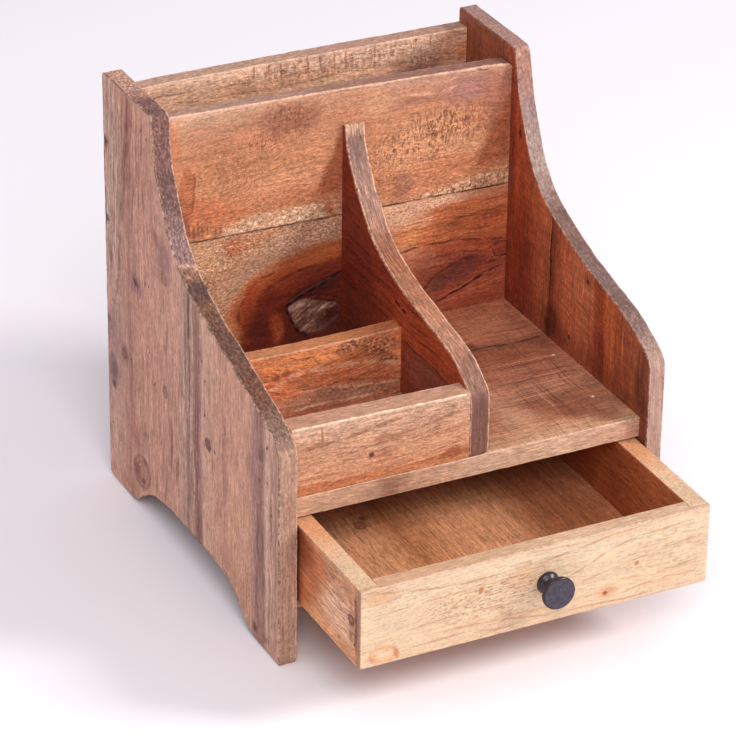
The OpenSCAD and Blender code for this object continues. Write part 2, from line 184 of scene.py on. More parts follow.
def panel(name, node, body, mat, plane, pts, tags, lo, hi, seed, step=2.5, grid=5.0,
          wear=(0.45, 0.45), corner=1.3, tight=0.3, rough=0.12, wave=0.10, feats=(), chips=(),
          flip=False, shape=None):
    """A board with worn edges: an outline in the (u, v) plane, from lo to hi along w.
    tags name each edge: f is worn, s is a glued seam, t lies against another board."""
    if isinstance(tags, str):
        tags = list(tags)
    P, N, worn = prepare(pts, tags, step, corner, tight)
    n = len(P)
    amount = wear[0] + wear[1] * np.array([0.5 + 0.9 * rnd(p[0], p[1], lo, 9.0, seed) + 0.5 * rnd(p[0], p[1], hi, 3.5, seed + 5) for p in P])
    r = np.where(worn > 0.9, np.clip(amount, 0.22, corner * 0.92), np.where(worn > 0.1, 0.26, 0.16))
    for (cu, cv, size, depth) in chips:
        d = np.linalg.norm(P - np.array([cu, cv]), axis=1)
        r = np.where(worn > 0.9, np.minimum(r + depth * np.clip(1 - d / size, 0, 1), corner * 0.95 + 0.6), r)
    verts, side, wearing = [], [], []
    # rings: face at lo, round to the wall, wall, round to the face at hi
    rings = []
    for k in range(4):
        th = math.pi / 2 * (1 - k / 3)
        rings.append((lambda rr, th=th: (rr * (1 - math.cos(th)), lo + rr * (1 - math.sin(th))), 0 if k == 0 else (0.25, 0.6, 0.9)[k - 1]))
    inner = max(1, int(round((hi - lo) / 2.6)))
    for k in range(inner + 1):
        f = (k + 0.5) / (inner + 1)
        rings.append((lambda rr, f=f: (0 * rr, lo + rr + (hi - lo - 2 * rr) * f), 1))
    for k in range(4):
        th = math.pi / 2 * (k / 3)
        rings.append((lambda rr, th=th: (rr * (1 - math.cos(th)), hi - rr * (1 - math.sin(th))), 0 if k == 3 else (0.9, 0.6, 0.25)[k]))
    ring_index = []
    for q, (fn, s) in enumerate(rings):
        off, w = fn(r)
        w = np.broadcast_to(w, (n,)).astype(float)
        off = np.broadcast_to(off, (n,)).astype(float).copy()
        if 3 <= q <= len(rings) - 4:
            for i in range(n):
                if worn[i] > 0.9:
                    off[i] += rough * max(0.0, 0.6 + 0.8 * rnd(P[i][0], P[i][1], w[i], 4.0, seed + 2) + 0.4 * rnd(P[i][0], P[i][1], w[i], 1.6, seed + 3))
        ring = P + N * off[:, None]
        ring_index.append(len(verts))
        verts += [(ring[i][0], ring[i][1], w[i]) for i in range(n)]
        edge = 1.0 if q in (1, 2, len(rings) - 2, len(rings) - 3) else (0.85 if q in (0, 3, len(rings) - 1, len(rings) - 4) else 0.15)
        side += [float(s)] * n
        wearing += list(edge * worn)
    # the two faces share one net of points
    rim = P + N * r[:, None]
    cand, cwear = [], []
    for off, wv in ((0.55, 0.62), (1.5, 0.3), (3.0, 0.06)):
        c = rim + N * off
        ok = np.ones(n, bool)
        for i in range(0, n):
            ok &= seg_dist(c, rim[i], rim[(i + 1) % n]) > off * 0.86
        ok &= inside(c, rim)
        last = None
        for i in np.nonzero(ok)[0]:
            if last is None or np.linalg.norm(c[i] - last) > 1.1:
                cand.append(c[i])
                cwear.append(wv * worn[i])
                last = c[i]
    g = []
    u0, v0 = rim.min(0)
    u1, v1 = rim.max(0)
    nu, nv = max(1, int(round((u1 - u0) / grid))), max(1, int(round((v1 - v0) / grid)))
    for i in range(nu + 1):
        for j in range(nv + 1):
            g.append((u0 + (u1 - u0) * (i + 0.5 * (j % 2)) / nu, v0 + (v1 - v0) * j / nv))
    g = np.array(g)
    keep = inside(g, rim)
    for i in range(n):
        keep &= seg_dist(g, rim[i], rim[(i + 1) % n]) > 3.0 + grid * 0.4
    g = g[keep]
    extra = []
    for f in feats:
        if f[0] == "hole":
            _, _, cu, cv, rad, depth = f
            if len(g):
                g = g[np.linalg.norm(g - (cu, cv), axis=1) > rad + 1.0]
            cand2 = [(c, w_) for c, w_ in zip(cand, cwear) if np.linalg.norm(c - (cu, cv)) > rad + 0.5]
            cand, cwear = [c for c, _ in cand2], [w_ for _, w_ in cand2]
            m = 12 if rad < 2 else 22
            for rr in (rad, rad - 0.12):
                for k in range(m):
                    a = 2 * math.pi * (k + (0.5 if rr < rad else 0)) / m
                    extra.append((cu + rr * math.cos(a), cv + rr * math.sin(a)))
            extra.append((cu, cv))
        elif f[0] == "crack":
            _, _, line, wid, depth = f
            for a, b in zip(line, line[1:]):
                a, b = np.array(a, float), np.array(b, float)
                L = np.linalg.norm(b - a)
                nn = np.array([-(b - a)[1], (b - a)[0]]) / L
                if len(g):
                    g = g[seg_dist(g, a, b) > wid + 0.8]
                k = max(2, int(L / 1.4))
                for q in range(k):
                    c = a + (b - a) * (q + 0.5) / k
                    for o in (-wid, -wid / 2, 0, wid / 2, wid):
                        extra.append(tuple(c + nn * (o + 0.12 * rnd(c[0], c[1], 0, 2.0, seed))))
        elif f[0] == "rough":
            _, _, poly, amp, size, base = f
            pp = np.array(poly, float)
            a0, a1 = pp.min(0) - 1.5, pp.max(0) + 1.5
            ku, kv = int((a1[0] - a0[0]) / 1.0), int((a1[1] - a0[1]) / 1.0)
            gg = np.array([(a0[0] + (a1[0] - a0[0]) * (i + 0.5 * (j % 2)) / ku, a0[1] + (a1[1] - a0[1]) * j / kv)
                           for i in range(ku) for j in range(kv)])
            near = inside(gg, pp)
            for a, b in zip(poly, poly[1:] + poly[:1]):
                near |= seg_dist(gg, a, b) < 1.2
            gg = gg[near & inside(gg, rim)]
            if len(g):
                drop = inside(g, pp)
                for a, b in zip(poly, poly[1:] + poly[:1]):
                    drop |= seg_dist(g, a, b) < 2.0
                g = g[~drop]
            extra += [tuple(q) for q in gg]
    extra = np.array(extra).reshape(-1, 2)
    if len(extra):
        ok = inside(extra, rim)
        for i in range(n):
            ok &= seg_dist(extra, rim[i], rim[(i + 1) % n]) > 0.25
        extra = extra[ok]
    net = np.concatenate([rim, np.array(cand).reshape(-1, 2), g.reshape(-1, 2), extra])
    net_wear = np.concatenate([np.full(n, 0.0), np.array(cwear), np.zeros(len(g) + len(extra))])
    coords = [Vector((float(a), float(b))) for a, b in net]
    _, _, faces, orig, _, _ = geometry.delaunay_2d_cdt(coords, [], [list(range(n))], 1, 1e-5, True)
    first = [o[0] if o else -1 for o in orig]
    inner_n = len(net) - n
    low0 = len(verts)
    verts += [(p[0], p[1], lo) for p in net[n:]]
    high0 = len(verts)
    verts += [(p[0], p[1], hi) for p in net[n:]]
    side += [0.0] * (2 * inner_n)
    wearing += list(net_wear[n:]) * 2
    quads = []
    for a, b in zip(ring_index, ring_index[1:]):
        for i in range(n):
            j = (i + 1) % n
            quads.append((a + i, a + j, b + j, b + i))
    middle = np.array([np.mean([net[first[i]] for i in f], axis=0) for f in faces])
    for f, good in zip(faces, inside(middle, rim)):
        ids = [first[i] for i in f]
        if not good or len(set(ids)) < 3:
            continue
        quads.append([ring_index[0] + i if i < n else low0 + i - n for i in ids])
        quads.append([ring_index[-1] + i if i < n else high0 + i - n for i in ids])
    V = np.array(verts, float)
    # gentle waves in the faces, only ever inwards, and each feature of a face
    for base, sign, key in ((low0, 1, "lo"), (high0, -1, "hi")):
        p = V[base:base + inner_n, :2]
        if not len(p):
            continue
        edge = np.full(len(p), 1e9)
        for i in range(n):
            if worn[i] < 0.2:
                edge = np.minimum(edge, seg_dist(p, rim[i], rim[(i + 1) % n]))
        fade = np.clip(edge / 6.0, 0, 1)
        dw = np.array([wave * max(0.0, 0.5 + 0.8 * rnd(a, b, lo if key == "lo" else hi, 45.0, seed + 1) + 0.25 * rnd(a, b, lo, 12.0, seed + 4)) for a, b in p]) * fade
        for f in feats:
            if f[1] not in (key, "both"):
                continue
            if f[0] == "hole":
                d = np.linalg.norm(p - (f[2], f[3]), axis=1)
                dw = np.where(d < f[4] - 0.06, f[5], dw)
            elif f[0] == "crack":
                for a, b in zip(f[2], f[2][1:]):
                    dw = dw + f[4] * np.clip(1 - seg_dist(p, a, b) / (f[3] / 2 + 0.15), 0, 1)
            elif f[0] == "rough":
                hit = inside(p, np.array(f[2], float))
                d = np.full(len(p), 1e9)
                for a, b in zip(f[2], f[2][1:] + f[2][:1]):
                    d = np.minimum(d, seg_dist(p, a, b))
                add = np.array([f[5] + f[3] * (rnd(a, b, 3.0, f[4], seed + 8) + 0.6 * rnd(a, b, 7.0, f[4] / 2.5, seed + 9)) for a, b in p])
                dw = dw + np.where(hit, np.clip(add, 0, None) * np.clip(d / 0.8, 0, 1), 0)
        V[base:base + inner_n, 2] += sign * dw
    if shape:
        V = shape(V)
    to = PLANES[plane]
    me = bpy.data.meshes.new(name)
    me.from_pydata([to_metres(to(*v)) for v in V], [], quads)
    if flip:
        side = [1 - s for s in side]
    for key, values in (("side", side), ("wear", wearing)):
        layer = me.attributes.new(key, "FLOAT", "POINT")
        layer.data.foreach_set("value", np.array(values, np.float32))
    bm = bmesh.new()
    bm.from_mesh(me)
    bmesh.ops.remove_doubles(bm, verts=bm.verts, dist=1e-6)
    bmesh.ops.recalc_face_normals(bm, faces=bm.faces)
    bm.to_mesh(me)
    bm.free()
    me.polygons.foreach_set("use_smooth", [True] * len(me.polygons))
    me.materials.append(mat)
    ob = bpy.data.objects.new(name, me)
    bpy.context.scene.collection.objects.link(ob)
    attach(ob, body)
    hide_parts(node)
    return ob


# ------------------------------------------------------ material helpers ----
def lin(c):
    c = c / 255
    return c / 12.92 if c <= 0.04045 else ((c + 0.055) / 1.055) ** 2.4


class Nodes:
    """A node tree, with short calls for the nodes it uses."""

    def __init__(self, t, gain=1.0):
        self.t, self.gain, self.thin = t, gain, None

    def node(self, kind, **props):
        n = self.t.nodes.new("ShaderNode" + kind)
        for k, v in props.items():
            setattr(n, k, v)
        return n

    def put(self, socket, v):
        if isinstance(v, bpy.types.NodeSocket):
            self.t.links.new(v, socket)
        else:
            socket.default_value = v

    def col(self, c):
        g = self.gain
        g = g if isinstance(g, (tuple, list)) else (g, g, g)
        return tuple(min(0.97, lin(x) * k) for x, k in zip(c, g)) + (1.0,)

    def math(self, op, a, b=None, c=None, clamp=False):
        n = self.node("Math", operation=op, use_clamp=clamp)
        for i, v in enumerate((a, b, c)):
            if v is not None:
                self.put(n.inputs[i], v)
        return n.outputs[0]

    def vmath(self, op, a, b=None, c=None):
        n = self.node("VectorMath", operation=op)
        if op == "SCALE":
            self.put(n.inputs[0], a)
            self.put(n.inputs[3], b)
            return n.outputs[0]
        for i, v in enumerate((a, b, c)):
            if v is not None:
                self.put(n.inputs[i], v)
        return n.outputs[1] if op in ("LENGTH", "DISTANCE", "DOT_PRODUCT") else n.outputs[0]

    def split(self, v):
        n = self.node("SeparateXYZ")
        self.put(n.inputs[0], v)
        return n.outputs

    def join(self, x, y, z):
        n = self.node("CombineXYZ")
        for i, v in enumerate((x, y, z)):
            self.put(n.inputs[i], v)
        return n.outputs[0]

    def noise(self, v, scale=1.0, detail=2.0, rough=0.5, colour=False, distort=0.0):
        n = self.node("TexNoise")
        self.put(n.inputs["Vector"], v)
        n.inputs["Scale"].default_value = scale
        n.inputs["Detail"].default_value = detail
        n.inputs["Roughness"].default_value = rough
        n.inputs["Distortion"].default_value = distort
        return n.outputs[1] if colour else n.outputs[0]

    def stretch(self, v, sx, sy, sz, shift=(0, 0, 0)):
        """Noise coordinates with features sx, sy, sz millimetres long."""
        return self.vmath("MULTIPLY_ADD", v, (1 / sx, 1 / sy, 1 / sz), shift)

    def range(self, x, a, b, c=0.0, d=1.0, kind="SMOOTHSTEP"):
        n = self.node("MapRange", interpolation_type=kind)
        self.put(n.inputs[0], x)
        for i, v in enumerate((a, b, c, d)):
            n.inputs[i + 1].default_value = v
        return n.outputs[0]

    def ramp(self, x, stops, kind="LINEAR", raw=False):
        """stops are (place, colour) or (place, colour, alpha)."""
        n = self.node("ValToRGB")
        self.put(n.inputs[0], x)
        r = n.color_ramp
        r.interpolation = kind
        while len(r.elements) > 1:
            r.elements.remove(r.elements[-1])
        for i, s in enumerate(stops):
            e = r.elements[0] if i == 0 else r.elements.new(s[0])
            e.position = s[0]
            c = s[1]
            c = (c, c, c, 1.0) if isinstance(c, (int, float)) else self.col(c)
            e.color = (c[0], c[1], c[2], s[2] if len(s) > 2 else 1.0)
        return n.outputs[0], n.outputs[1]

    def mix(self, f, a, b, mode="MIX"):
        n = self.node("Mix", data_type="RGBA", blend_type=mode)
        self.put(n.inputs[0], f)
        self.put(n.inputs[6], a)
        self.put(n.inputs[7], b)
        return n.outputs[2]

    def axes(self, loc, rot, size):
        """The two or three directions and the shift that turn, shrink and centre a place."""
        c, s = math.cos(math.radians(rot)), math.sin(math.radians(rot))
        a, b = (c / size[0], s / size[0], 0.0), (-s / size[1], c / size[1], 0.0)
        d = (0.0, 0.0, 1 / size[2] if size[2] < 1e4 else 0.0)
        return dict(a=a, b=b, c=d, shift=(a[0] * loc[0] + a[1] * loc[1], b[0] * loc[0] + b[1] * loc[1], d[2] * loc[2]))

    def place(self, v, loc, rot, size):
        """Coordinates about loc, turned by rot degrees and in shares of size."""
        k = self.axes(loc, rot, size)
        d = self.join(*(self.vmath("DOT_PRODUCT", v, k[i]) for i in "abc"))
        return self.vmath("SUBTRACT", d, k["shift"])

    def attr(self, name):
        return self.node("Attribute", attribute_type="GEOMETRY", attribute_name=name).outputs["Fac"]

    def shake(self, v, scale):
        """A noise of three numbers, about the middle 0."""
        n = self.node("SeparateColor")
        self.put(n.inputs[0], self.noise(v, 1.0, *scale, colour=True))
        return self.vmath("SUBTRACT", self.join(*n.outputs[:3]), (0.5, 0.5, 0.5))

    def group(self, tree, **given):
        n = self.node("Group")
        n.node_tree = tree
        for k, v in given.items():
            self.put(n.inputs[k], v)
        return n.outputs[0]

    def spot(self, col, v, u0, v0, ru, rv, stops, rot=0.0, at=None, strength=None):
        """Lays a patch, knot or ring over a colour. stops are (share of the radius, colour, alpha)."""
        k = self.axes((u0, v0, at[0] if at else 0), rot, (ru, rv, at[1] if at else 1e5))
        if len(stops) == 3 and stops[0][1:] == stops[1][1:] and stops[2][1:] == (stops[0][1], 0.0):
            rise = 1 / (1 - stops[1][0])
            return self.group(PATCH, col=col, v=v, paint=self.col(stops[0][1]), rise=rise, fall=-rise, alpha=stops[0][2],
                              strength=1.0 if strength is None else strength, **k)
        c, a = self.ramp(self.group(RADIUS, v=v, **k), stops)
        if strength is not None:
            a = self.math("MULTIPLY", a, strength)
        return self.mix(a, col, c)

    def line(self, col, v, pts, width, colour, alpha=0.9):
        """A crack or scratch along a few straight stretches, with tapered ends."""
        v = self.thin or v
        for (x0, y0), (x1, y1) in zip(pts, pts[1:]):
            L = math.hypot(x1 - x0, y1 - y0)
            k = self.axes(((x0 + x1) / 2, (y0 + y1) / 2, 0), math.degrees(math.atan2(y1 - y0, x1 - x0)), (L * 0.58, width, 1e5))
            col = self.group(STROKE, col=col, v=v, paint=self.col(colour), alpha=alpha, **k)
        return col

    def rule(self, col, u, v, a, b, width, colour, alpha, wobble):
        """A thin straight line right across a board, through the places a and b."""
        slope = (b[1] - a[1]) / (b[0] - a[0])
        d = self.math("SUBTRACT", self.math("MULTIPLY_ADD", u, -slope, v), a[1] - slope * a[0])
        d = self.math("ABSOLUTE", self.math("ADD", d, self.math("MULTIPLY_ADD", wobble, 1.6, -0.8)))
        k = self.math("MULTIPLY", self.range(d, width, width * 0.2, 0.0, alpha), self.range(wobble, 0.40, 0.56, 0.5, 1.0))
        return self.mix(k, col, self.col(colour))

    def area(self, v, pts, soft=1.0):
        """1 inside an outline whose corners all turn the same way, 0 outside it."""
        x, y, _ = self.split(v)
        turn_ = sum((b[0] - a[0]) * (b[1] + a[1]) for a, b in zip(pts, pts[1:] + pts[:1]))
        way = -1.0 if turn_ > 0 else 1.0
        least = None
        for (x0, y0), (x1, y1) in zip(pts, pts[1:] + pts[:1]):
            L = math.hypot(x1 - x0, y1 - y0)
            nx, ny = -(y1 - y0) / L * way, (x1 - x0) / L * way
            d = self.math("MULTIPLY_ADD", y, ny, self.math("MULTIPLY_ADD", x, nx, -(nx * x0 + ny * y0)))
            least = d if least is None else self.math("MINIMUM", least, d)
        return self.range(least, 0.0, soft)

    def lay(self, col, mask, colour, alpha=1.0, strength=None):
        """Lays a colour where a mask is 1."""
        if strength is not None:
            mask = self.math("MULTIPLY", mask, strength)
        return self.mix(self.math("MULTIPLY", mask, alpha), col, self.col(colour))


class Stuff(Nodes):
    """A node-based material."""

    def __init__(self, name, gain=1.0):
        self.m = bpy.data.materials.new(name)
        self.m.use_nodes = True
        super().__init__(self.m.node_tree, gain)
        self.t.nodes.clear()
        self.out = self.t.nodes.new("ShaderNodeOutputMaterial")
        self.b = self.t.nodes.new("ShaderNodeBsdfPrincipled")
        self.t.links.new(self.b.outputs[0], self.out.inputs[0])


def small_tree(name, ins, out, build):
    """A node group that is used many times. ins are its inputs' names and kinds."""
    t = bpy.data.node_groups.new(name, "ShaderNodeTree")
    for label, kind in ins:
        t.interface.new_socket(name=label, in_out="INPUT", socket_type="NodeSocket" + kind)
    t.interface.new_socket(name="out", in_out="OUTPUT", socket_type="NodeSocket" + out)
    gi, go = t.nodes.new("NodeGroupInput"), t.nodes.new("NodeGroupOutput")
    t.links.new(build(Nodes(t), *gi.outputs[:len(ins)]), go.inputs[0])
    return t


def radius(s, v, a, b, c, shift):
    """How far a place is from the middle of a spot, in shares of the spot's size."""
    return s.vmath("DISTANCE", s.join(*(s.vmath("DOT_PRODUCT", v, k) for k in (a, b, c))), shift)


def laid_patch(s, v, a, b, c, shift, col, paint, alpha, rise, fall, strength):
    k = s.math("MULTIPLY_ADD", radius(s, v, a, b, c, shift), fall, rise, clamp=True)
    return s.mix(s.math("MULTIPLY", s.math("MULTIPLY", k, alpha), strength), col, paint)


def laid_stroke(s, v, a, b, c, shift, col, paint, alpha):
    return s.mix(s.math("MULTIPLY", s.range(radius(s, v, a, b, c, shift), 1.0, 0.45), alpha), col, paint)


WHERE = [("v", "Vector"), ("a", "Vector"), ("b", "Vector"), ("c", "Vector"), ("shift", "Vector")]
LAID = WHERE + [("col", "Color"), ("paint", "Color"), ("alpha", "Float")]
RADIUS = small_tree("radius", WHERE, "Float", radius)
STROKE = small_tree("stroke", LAID, "Color", laid_stroke)
PATCH = small_tree("patch", LAID + [("rise", "Float"), ("fall", "Float"), ("strength", "Float")], "Color", laid_patch)


def patch(colour, alpha, soft=0.6):
    """Stops for a plain soft patch."""
    return [(0.0, colour, alpha), (1 - soft, colour, alpha), (1.0, colour, 0.0)]


def wood(name, plane, grain, bands, span, gain=1.0, bend=None, wander=(3.0, 28.0), streak=0.3, streak_size=(120, 8),
         fine=0.4, pores=0.4, pore_size=(7, 1.0), mottle=0.12, speck=0.4, speck_size=(2.6, 1.4), saw=0.0, saw_size=(1.8, 60),
         alt=None, alt_amount=0.35, bulge=(), paint=None, edge=None, edge_span=None, edge_by="u", edge_jitter=10.0,
         edge_spots=0.7, edge_grain=(1.5, 1.5, 1.5), edge_gain=1.0, worn=(226, 184, 158), rub=(0.6, 0.6), dark=(74, 44, 36),
         dirt=(0.2, 0.2), middle=None, upright=None, rough=(0.5, 0.72), seed=0.0, bump=0.5):
    """Wood that is sawn from one plank: stripes along the grain, pores, knots, and worn and cut edges.
    bands are (place across the grain, colour); everything is in millimetres in the board's own plane.
    rub and dirt are how pale and how dirty its arrises are, on either side of the place called middle."""
    s = Stuff(name, gain)
    tc = s.node("TexCoord").outputs["Object"]
    p = s.vmath("MULTIPLY_ADD", tc, (1000, 1000, 1000), (OX, OY, 0))
    x, y, z = s.split(p)
    u, v, w = {"yz": (y, z, x), "xz": (x, z, y), "xy": (x, y, z)}[plane]
    base = s.join(u, v, w)
    # the grain wanders a little
    swirl = s.vmath("MULTIPLY_ADD", s.shake(s.stretch(base, wander[1], wander[1], wander[1], (seed, 0, 0)), (3, 0.55)), (wander[0] * 2,) * 3, base)
    du, dv, dw = s.split(swirl)
    along, across = (du, dv) if grain == "u" else (dv, du)
    if bend:
        lo, hi = bend[0][0], bend[-1][0]
        amp = max(abs(b) for _, b in bend) or 1.0
        shift, _ = s.ramp(s.range(along, lo, hi, kind="LINEAR"),
                          [((a - lo) / (hi - lo), 0.5 + 0.5 * b / amp) for a, b in bend], "B_SPLINE")
        grey = s.node("RGBToBW")
        s.put(grey.inputs[0], shift)
        across = s.math("ADD", across, s.math("MULTIPLY_ADD", grey.outputs[0], 2 * amp, -amp))
    for (u0, v0, ru, rv, k) in bulge:
        k_ = s.range(s.group(RADIUS, v=swirl, **s.axes((u0, v0, 0), 0, (ru, rv, 1e5))), 1.0, 0.0, 0.0, k)
        centre = v0 if grain == "u" else u0
        across = s.math("SUBTRACT", across, s.math("MULTIPLY", s.math("SUBTRACT", across, centre), k_))
    lay = s.join(along, across, dw)
    # everything drawn on the grain wanders with it, with a ragged outline
    ragged = s.shake(s.stretch(lay, 3.0, 3.0, 3.0, (0, seed, 0)), (2, 0.6))
    drawn = s.vmath("MULTIPLY_ADD", ragged, (3.0,) * 3, swirl)
    s.thin = s.vmath("MULTIPLY_ADD", ragged, (1.0,) * 3, swirl)
    long1, wide1 = streak_size
    n1 = s.noise(s.stretch(lay, long1, wide1, wide1 * 1.5, (seed, seed * 2, 0)), 1.0, 5, 0.66)
    n2 = s.noise(s.stretch(lay, pore_size[0] * 3, pore_size[1] * 1.8, pore_size[1] * 1.8, (0, seed, seed)), 1.0, 3, 0.6)
    n3 = s.noise(s.stretch(lay, pore_size[0], pore_size[1], pore_size[1], (seed, 0, seed)), 1.0, 1, 0.5)
    n4 = s.noise(s.stretch(base, 11, 11, 11, (seed, seed, 0)), 1.0, 3, 0.6)
    n5 = s.noise(s.stretch(lay, speck_size[0], speck_size[1], speck_size[1], (1, seed, 4)), 1.0, 3, 0.7)
    # stripes
    x01 = s.range(across, span[0], span[1], kind="LINEAR")
    col, _ = s.ramp(x01, [((b - span[0]) / (span[1] - span[0]), c) for b, c in bands])
    if alt:
        col = s.mix(s.range(n1, 0.48, 0.66, 0.0, alt_amount), col, s.col(alt))
    q = dict(u=u, v=v, w=w, n1=n1, n2=n2, n3=n3, n4=n4, n5=n5, base=base, lay=lay, swirl=swirl, along=along, across=across, coarse=None)
    if paint:
        col = paint(s, col, drawn, q)
    pore = s.range(n3, 0.56, 0.66)

    def swing(n, amount, so_far=None):
        part = s.math("MULTIPLY_ADD", n, 3.2 * amount, -1.6 * amount)
        return part if so_far is None else s.math("ADD", so_far, part)

    spread = swing(n5, speck)
    if q["coarse"] is not None:
        spread = s.math("MULTIPLY", spread, q["coarse"])
    spread = swing(n4, mottle, swing(n2, fine, swing(n1, streak, spread)))
    spread = s.math("ADD", spread, s.math("MULTIPLY_ADD", pore, -pores, pores * 0.12))
    if saw:
        ns = s.noise(s.stretch(s.join(along, across, dw), saw_size[0], saw_size[1], 60, (3, seed, 1)), 1.0, 2, 0.6)
        spread = swing(ns, saw, spread)
    # cut edges: rough end grain
    side, wearing = s.attr("side"), s.attr("wear")
    grit = s.noise(s.stretch(base, *edge_grain, (seed, 2, 5)), 1.0, 3, 0.7)
    lump = s.noise(s.stretch(base, 2.2, 2.2, 2.2, (seed, 9, 1)), 1.0, 3, 0.65)
    s.gain = edge_gain
    if edge:
        by = {"u": u, "v": v, "w": w}[edge_by]
        espan = edge_span or (0, 248)
        jit = s.math("MULTIPLY_ADD", s.math("SUBTRACT", n4, 0.5), edge_jitter, by)
        ec, _ = s.ramp(s.range(jit, espan[0], espan[1], kind="LINEAR"), [((a - espan[0]) / (espan[1] - espan[0]), c) for a, c in edge])
        is_edge = s.range(side, 0.35, 0.75)
        col = s.mix(is_edge, col, ec)
        rugged = swing(n4, 0.14, swing(lump, edge_spots * 0.4, swing(grit, edge_spots)))
        if upright:
            curved = s.range(u, upright[0], upright[1])
            lines = s.noise(s.stretch(base, 3.0, 30.0, 1.3, (4, 2, seed)), 1.0, 4, 0.65)
            rugged = s.math("ADD", s.math("MULTIPLY", rugged, s.math("MULTIPLY_ADD", curved, 0.62, 0.38)),
                            s.math("MULTIPLY", swing(lines, 0.5), s.math("SUBTRACT", 1.0, curved)))
        keep = s.math("SUBTRACT", 1.0, is_edge)
        spread = s.math("ADD", s.math("MULTIPLY", spread, keep), s.math("MULTIPLY", rugged, is_edge))
    col = s.vmath("SCALE", col, s.math("EXPONENT", spread))
    # worn arrises, paler where the wood is rubbed and darker where dirt sits
    half = middle if middle is not None else 0.0
    over = s.range(w, half - 1.5, half + 1.5)
    part = lambda pair: s.math("MULTIPLY_ADD", over, pair[1] - pair[0], pair[0])
    pale = s.math("MULTIPLY", s.range(wearing, 0.45, 0.95), s.range(s.math("ADD", s.math("MULTIPLY", grit, 0.5), s.math("MULTIPLY", lump, 0.5)), 0.40, 0.56, 0.2, 1.0))
    col = s.mix(s.math("MULTIPLY", pale, part(rub)), col, s.col(worn))
    grime = s.math("ADD", s.math("MULTIPLY", lump, 0.55), s.math("MULTIPLY", n4, 0.45))
    grime = s.math("MULTIPLY", s.range(grime, 0.57, 0.45), s.range(wearing, 0.72, 0.97))
    col = s.mix(s.math("MULTIPLY", grime, part(dirt)), col, s.col(dark))
    s.put(s.b.inputs["Base Color"], col)
    s.put(s.b.inputs["Roughness"], s.range(n2, 0.3, 0.7, rough[1], rough[0], "LINEAR"))
    s.b.inputs["Specular IOR Level"].default_value = 0.32
    h = s.math("MULTIPLY_ADD", n2, 0.7, s.math("MULTIPLY", pore, -0.5))
    h = s.math("ADD", h, s.math("MULTIPLY", n1, 0.8))
    h = s.math("ADD", h, s.math("MULTIPLY", n5, 0.5))
    h = s.math("ADD", h, s.math("MULTIPLY", s.math("MULTIPLY", grit, side), 1.6))
    bn = s.node("Bump")
    bn.inputs["Strength"].default_value = bump
    bn.inputs["Distance"].default_value = 0.0005
    s.put(bn.inputs["Height"], h)
    s.t.links.new(bn.outputs[0], s.b.inputs["Normal"])
    return s.m


# ------------------------------------------------------------- the woods ----
OUT = (0, 7)                               # only near the left panel's outer face


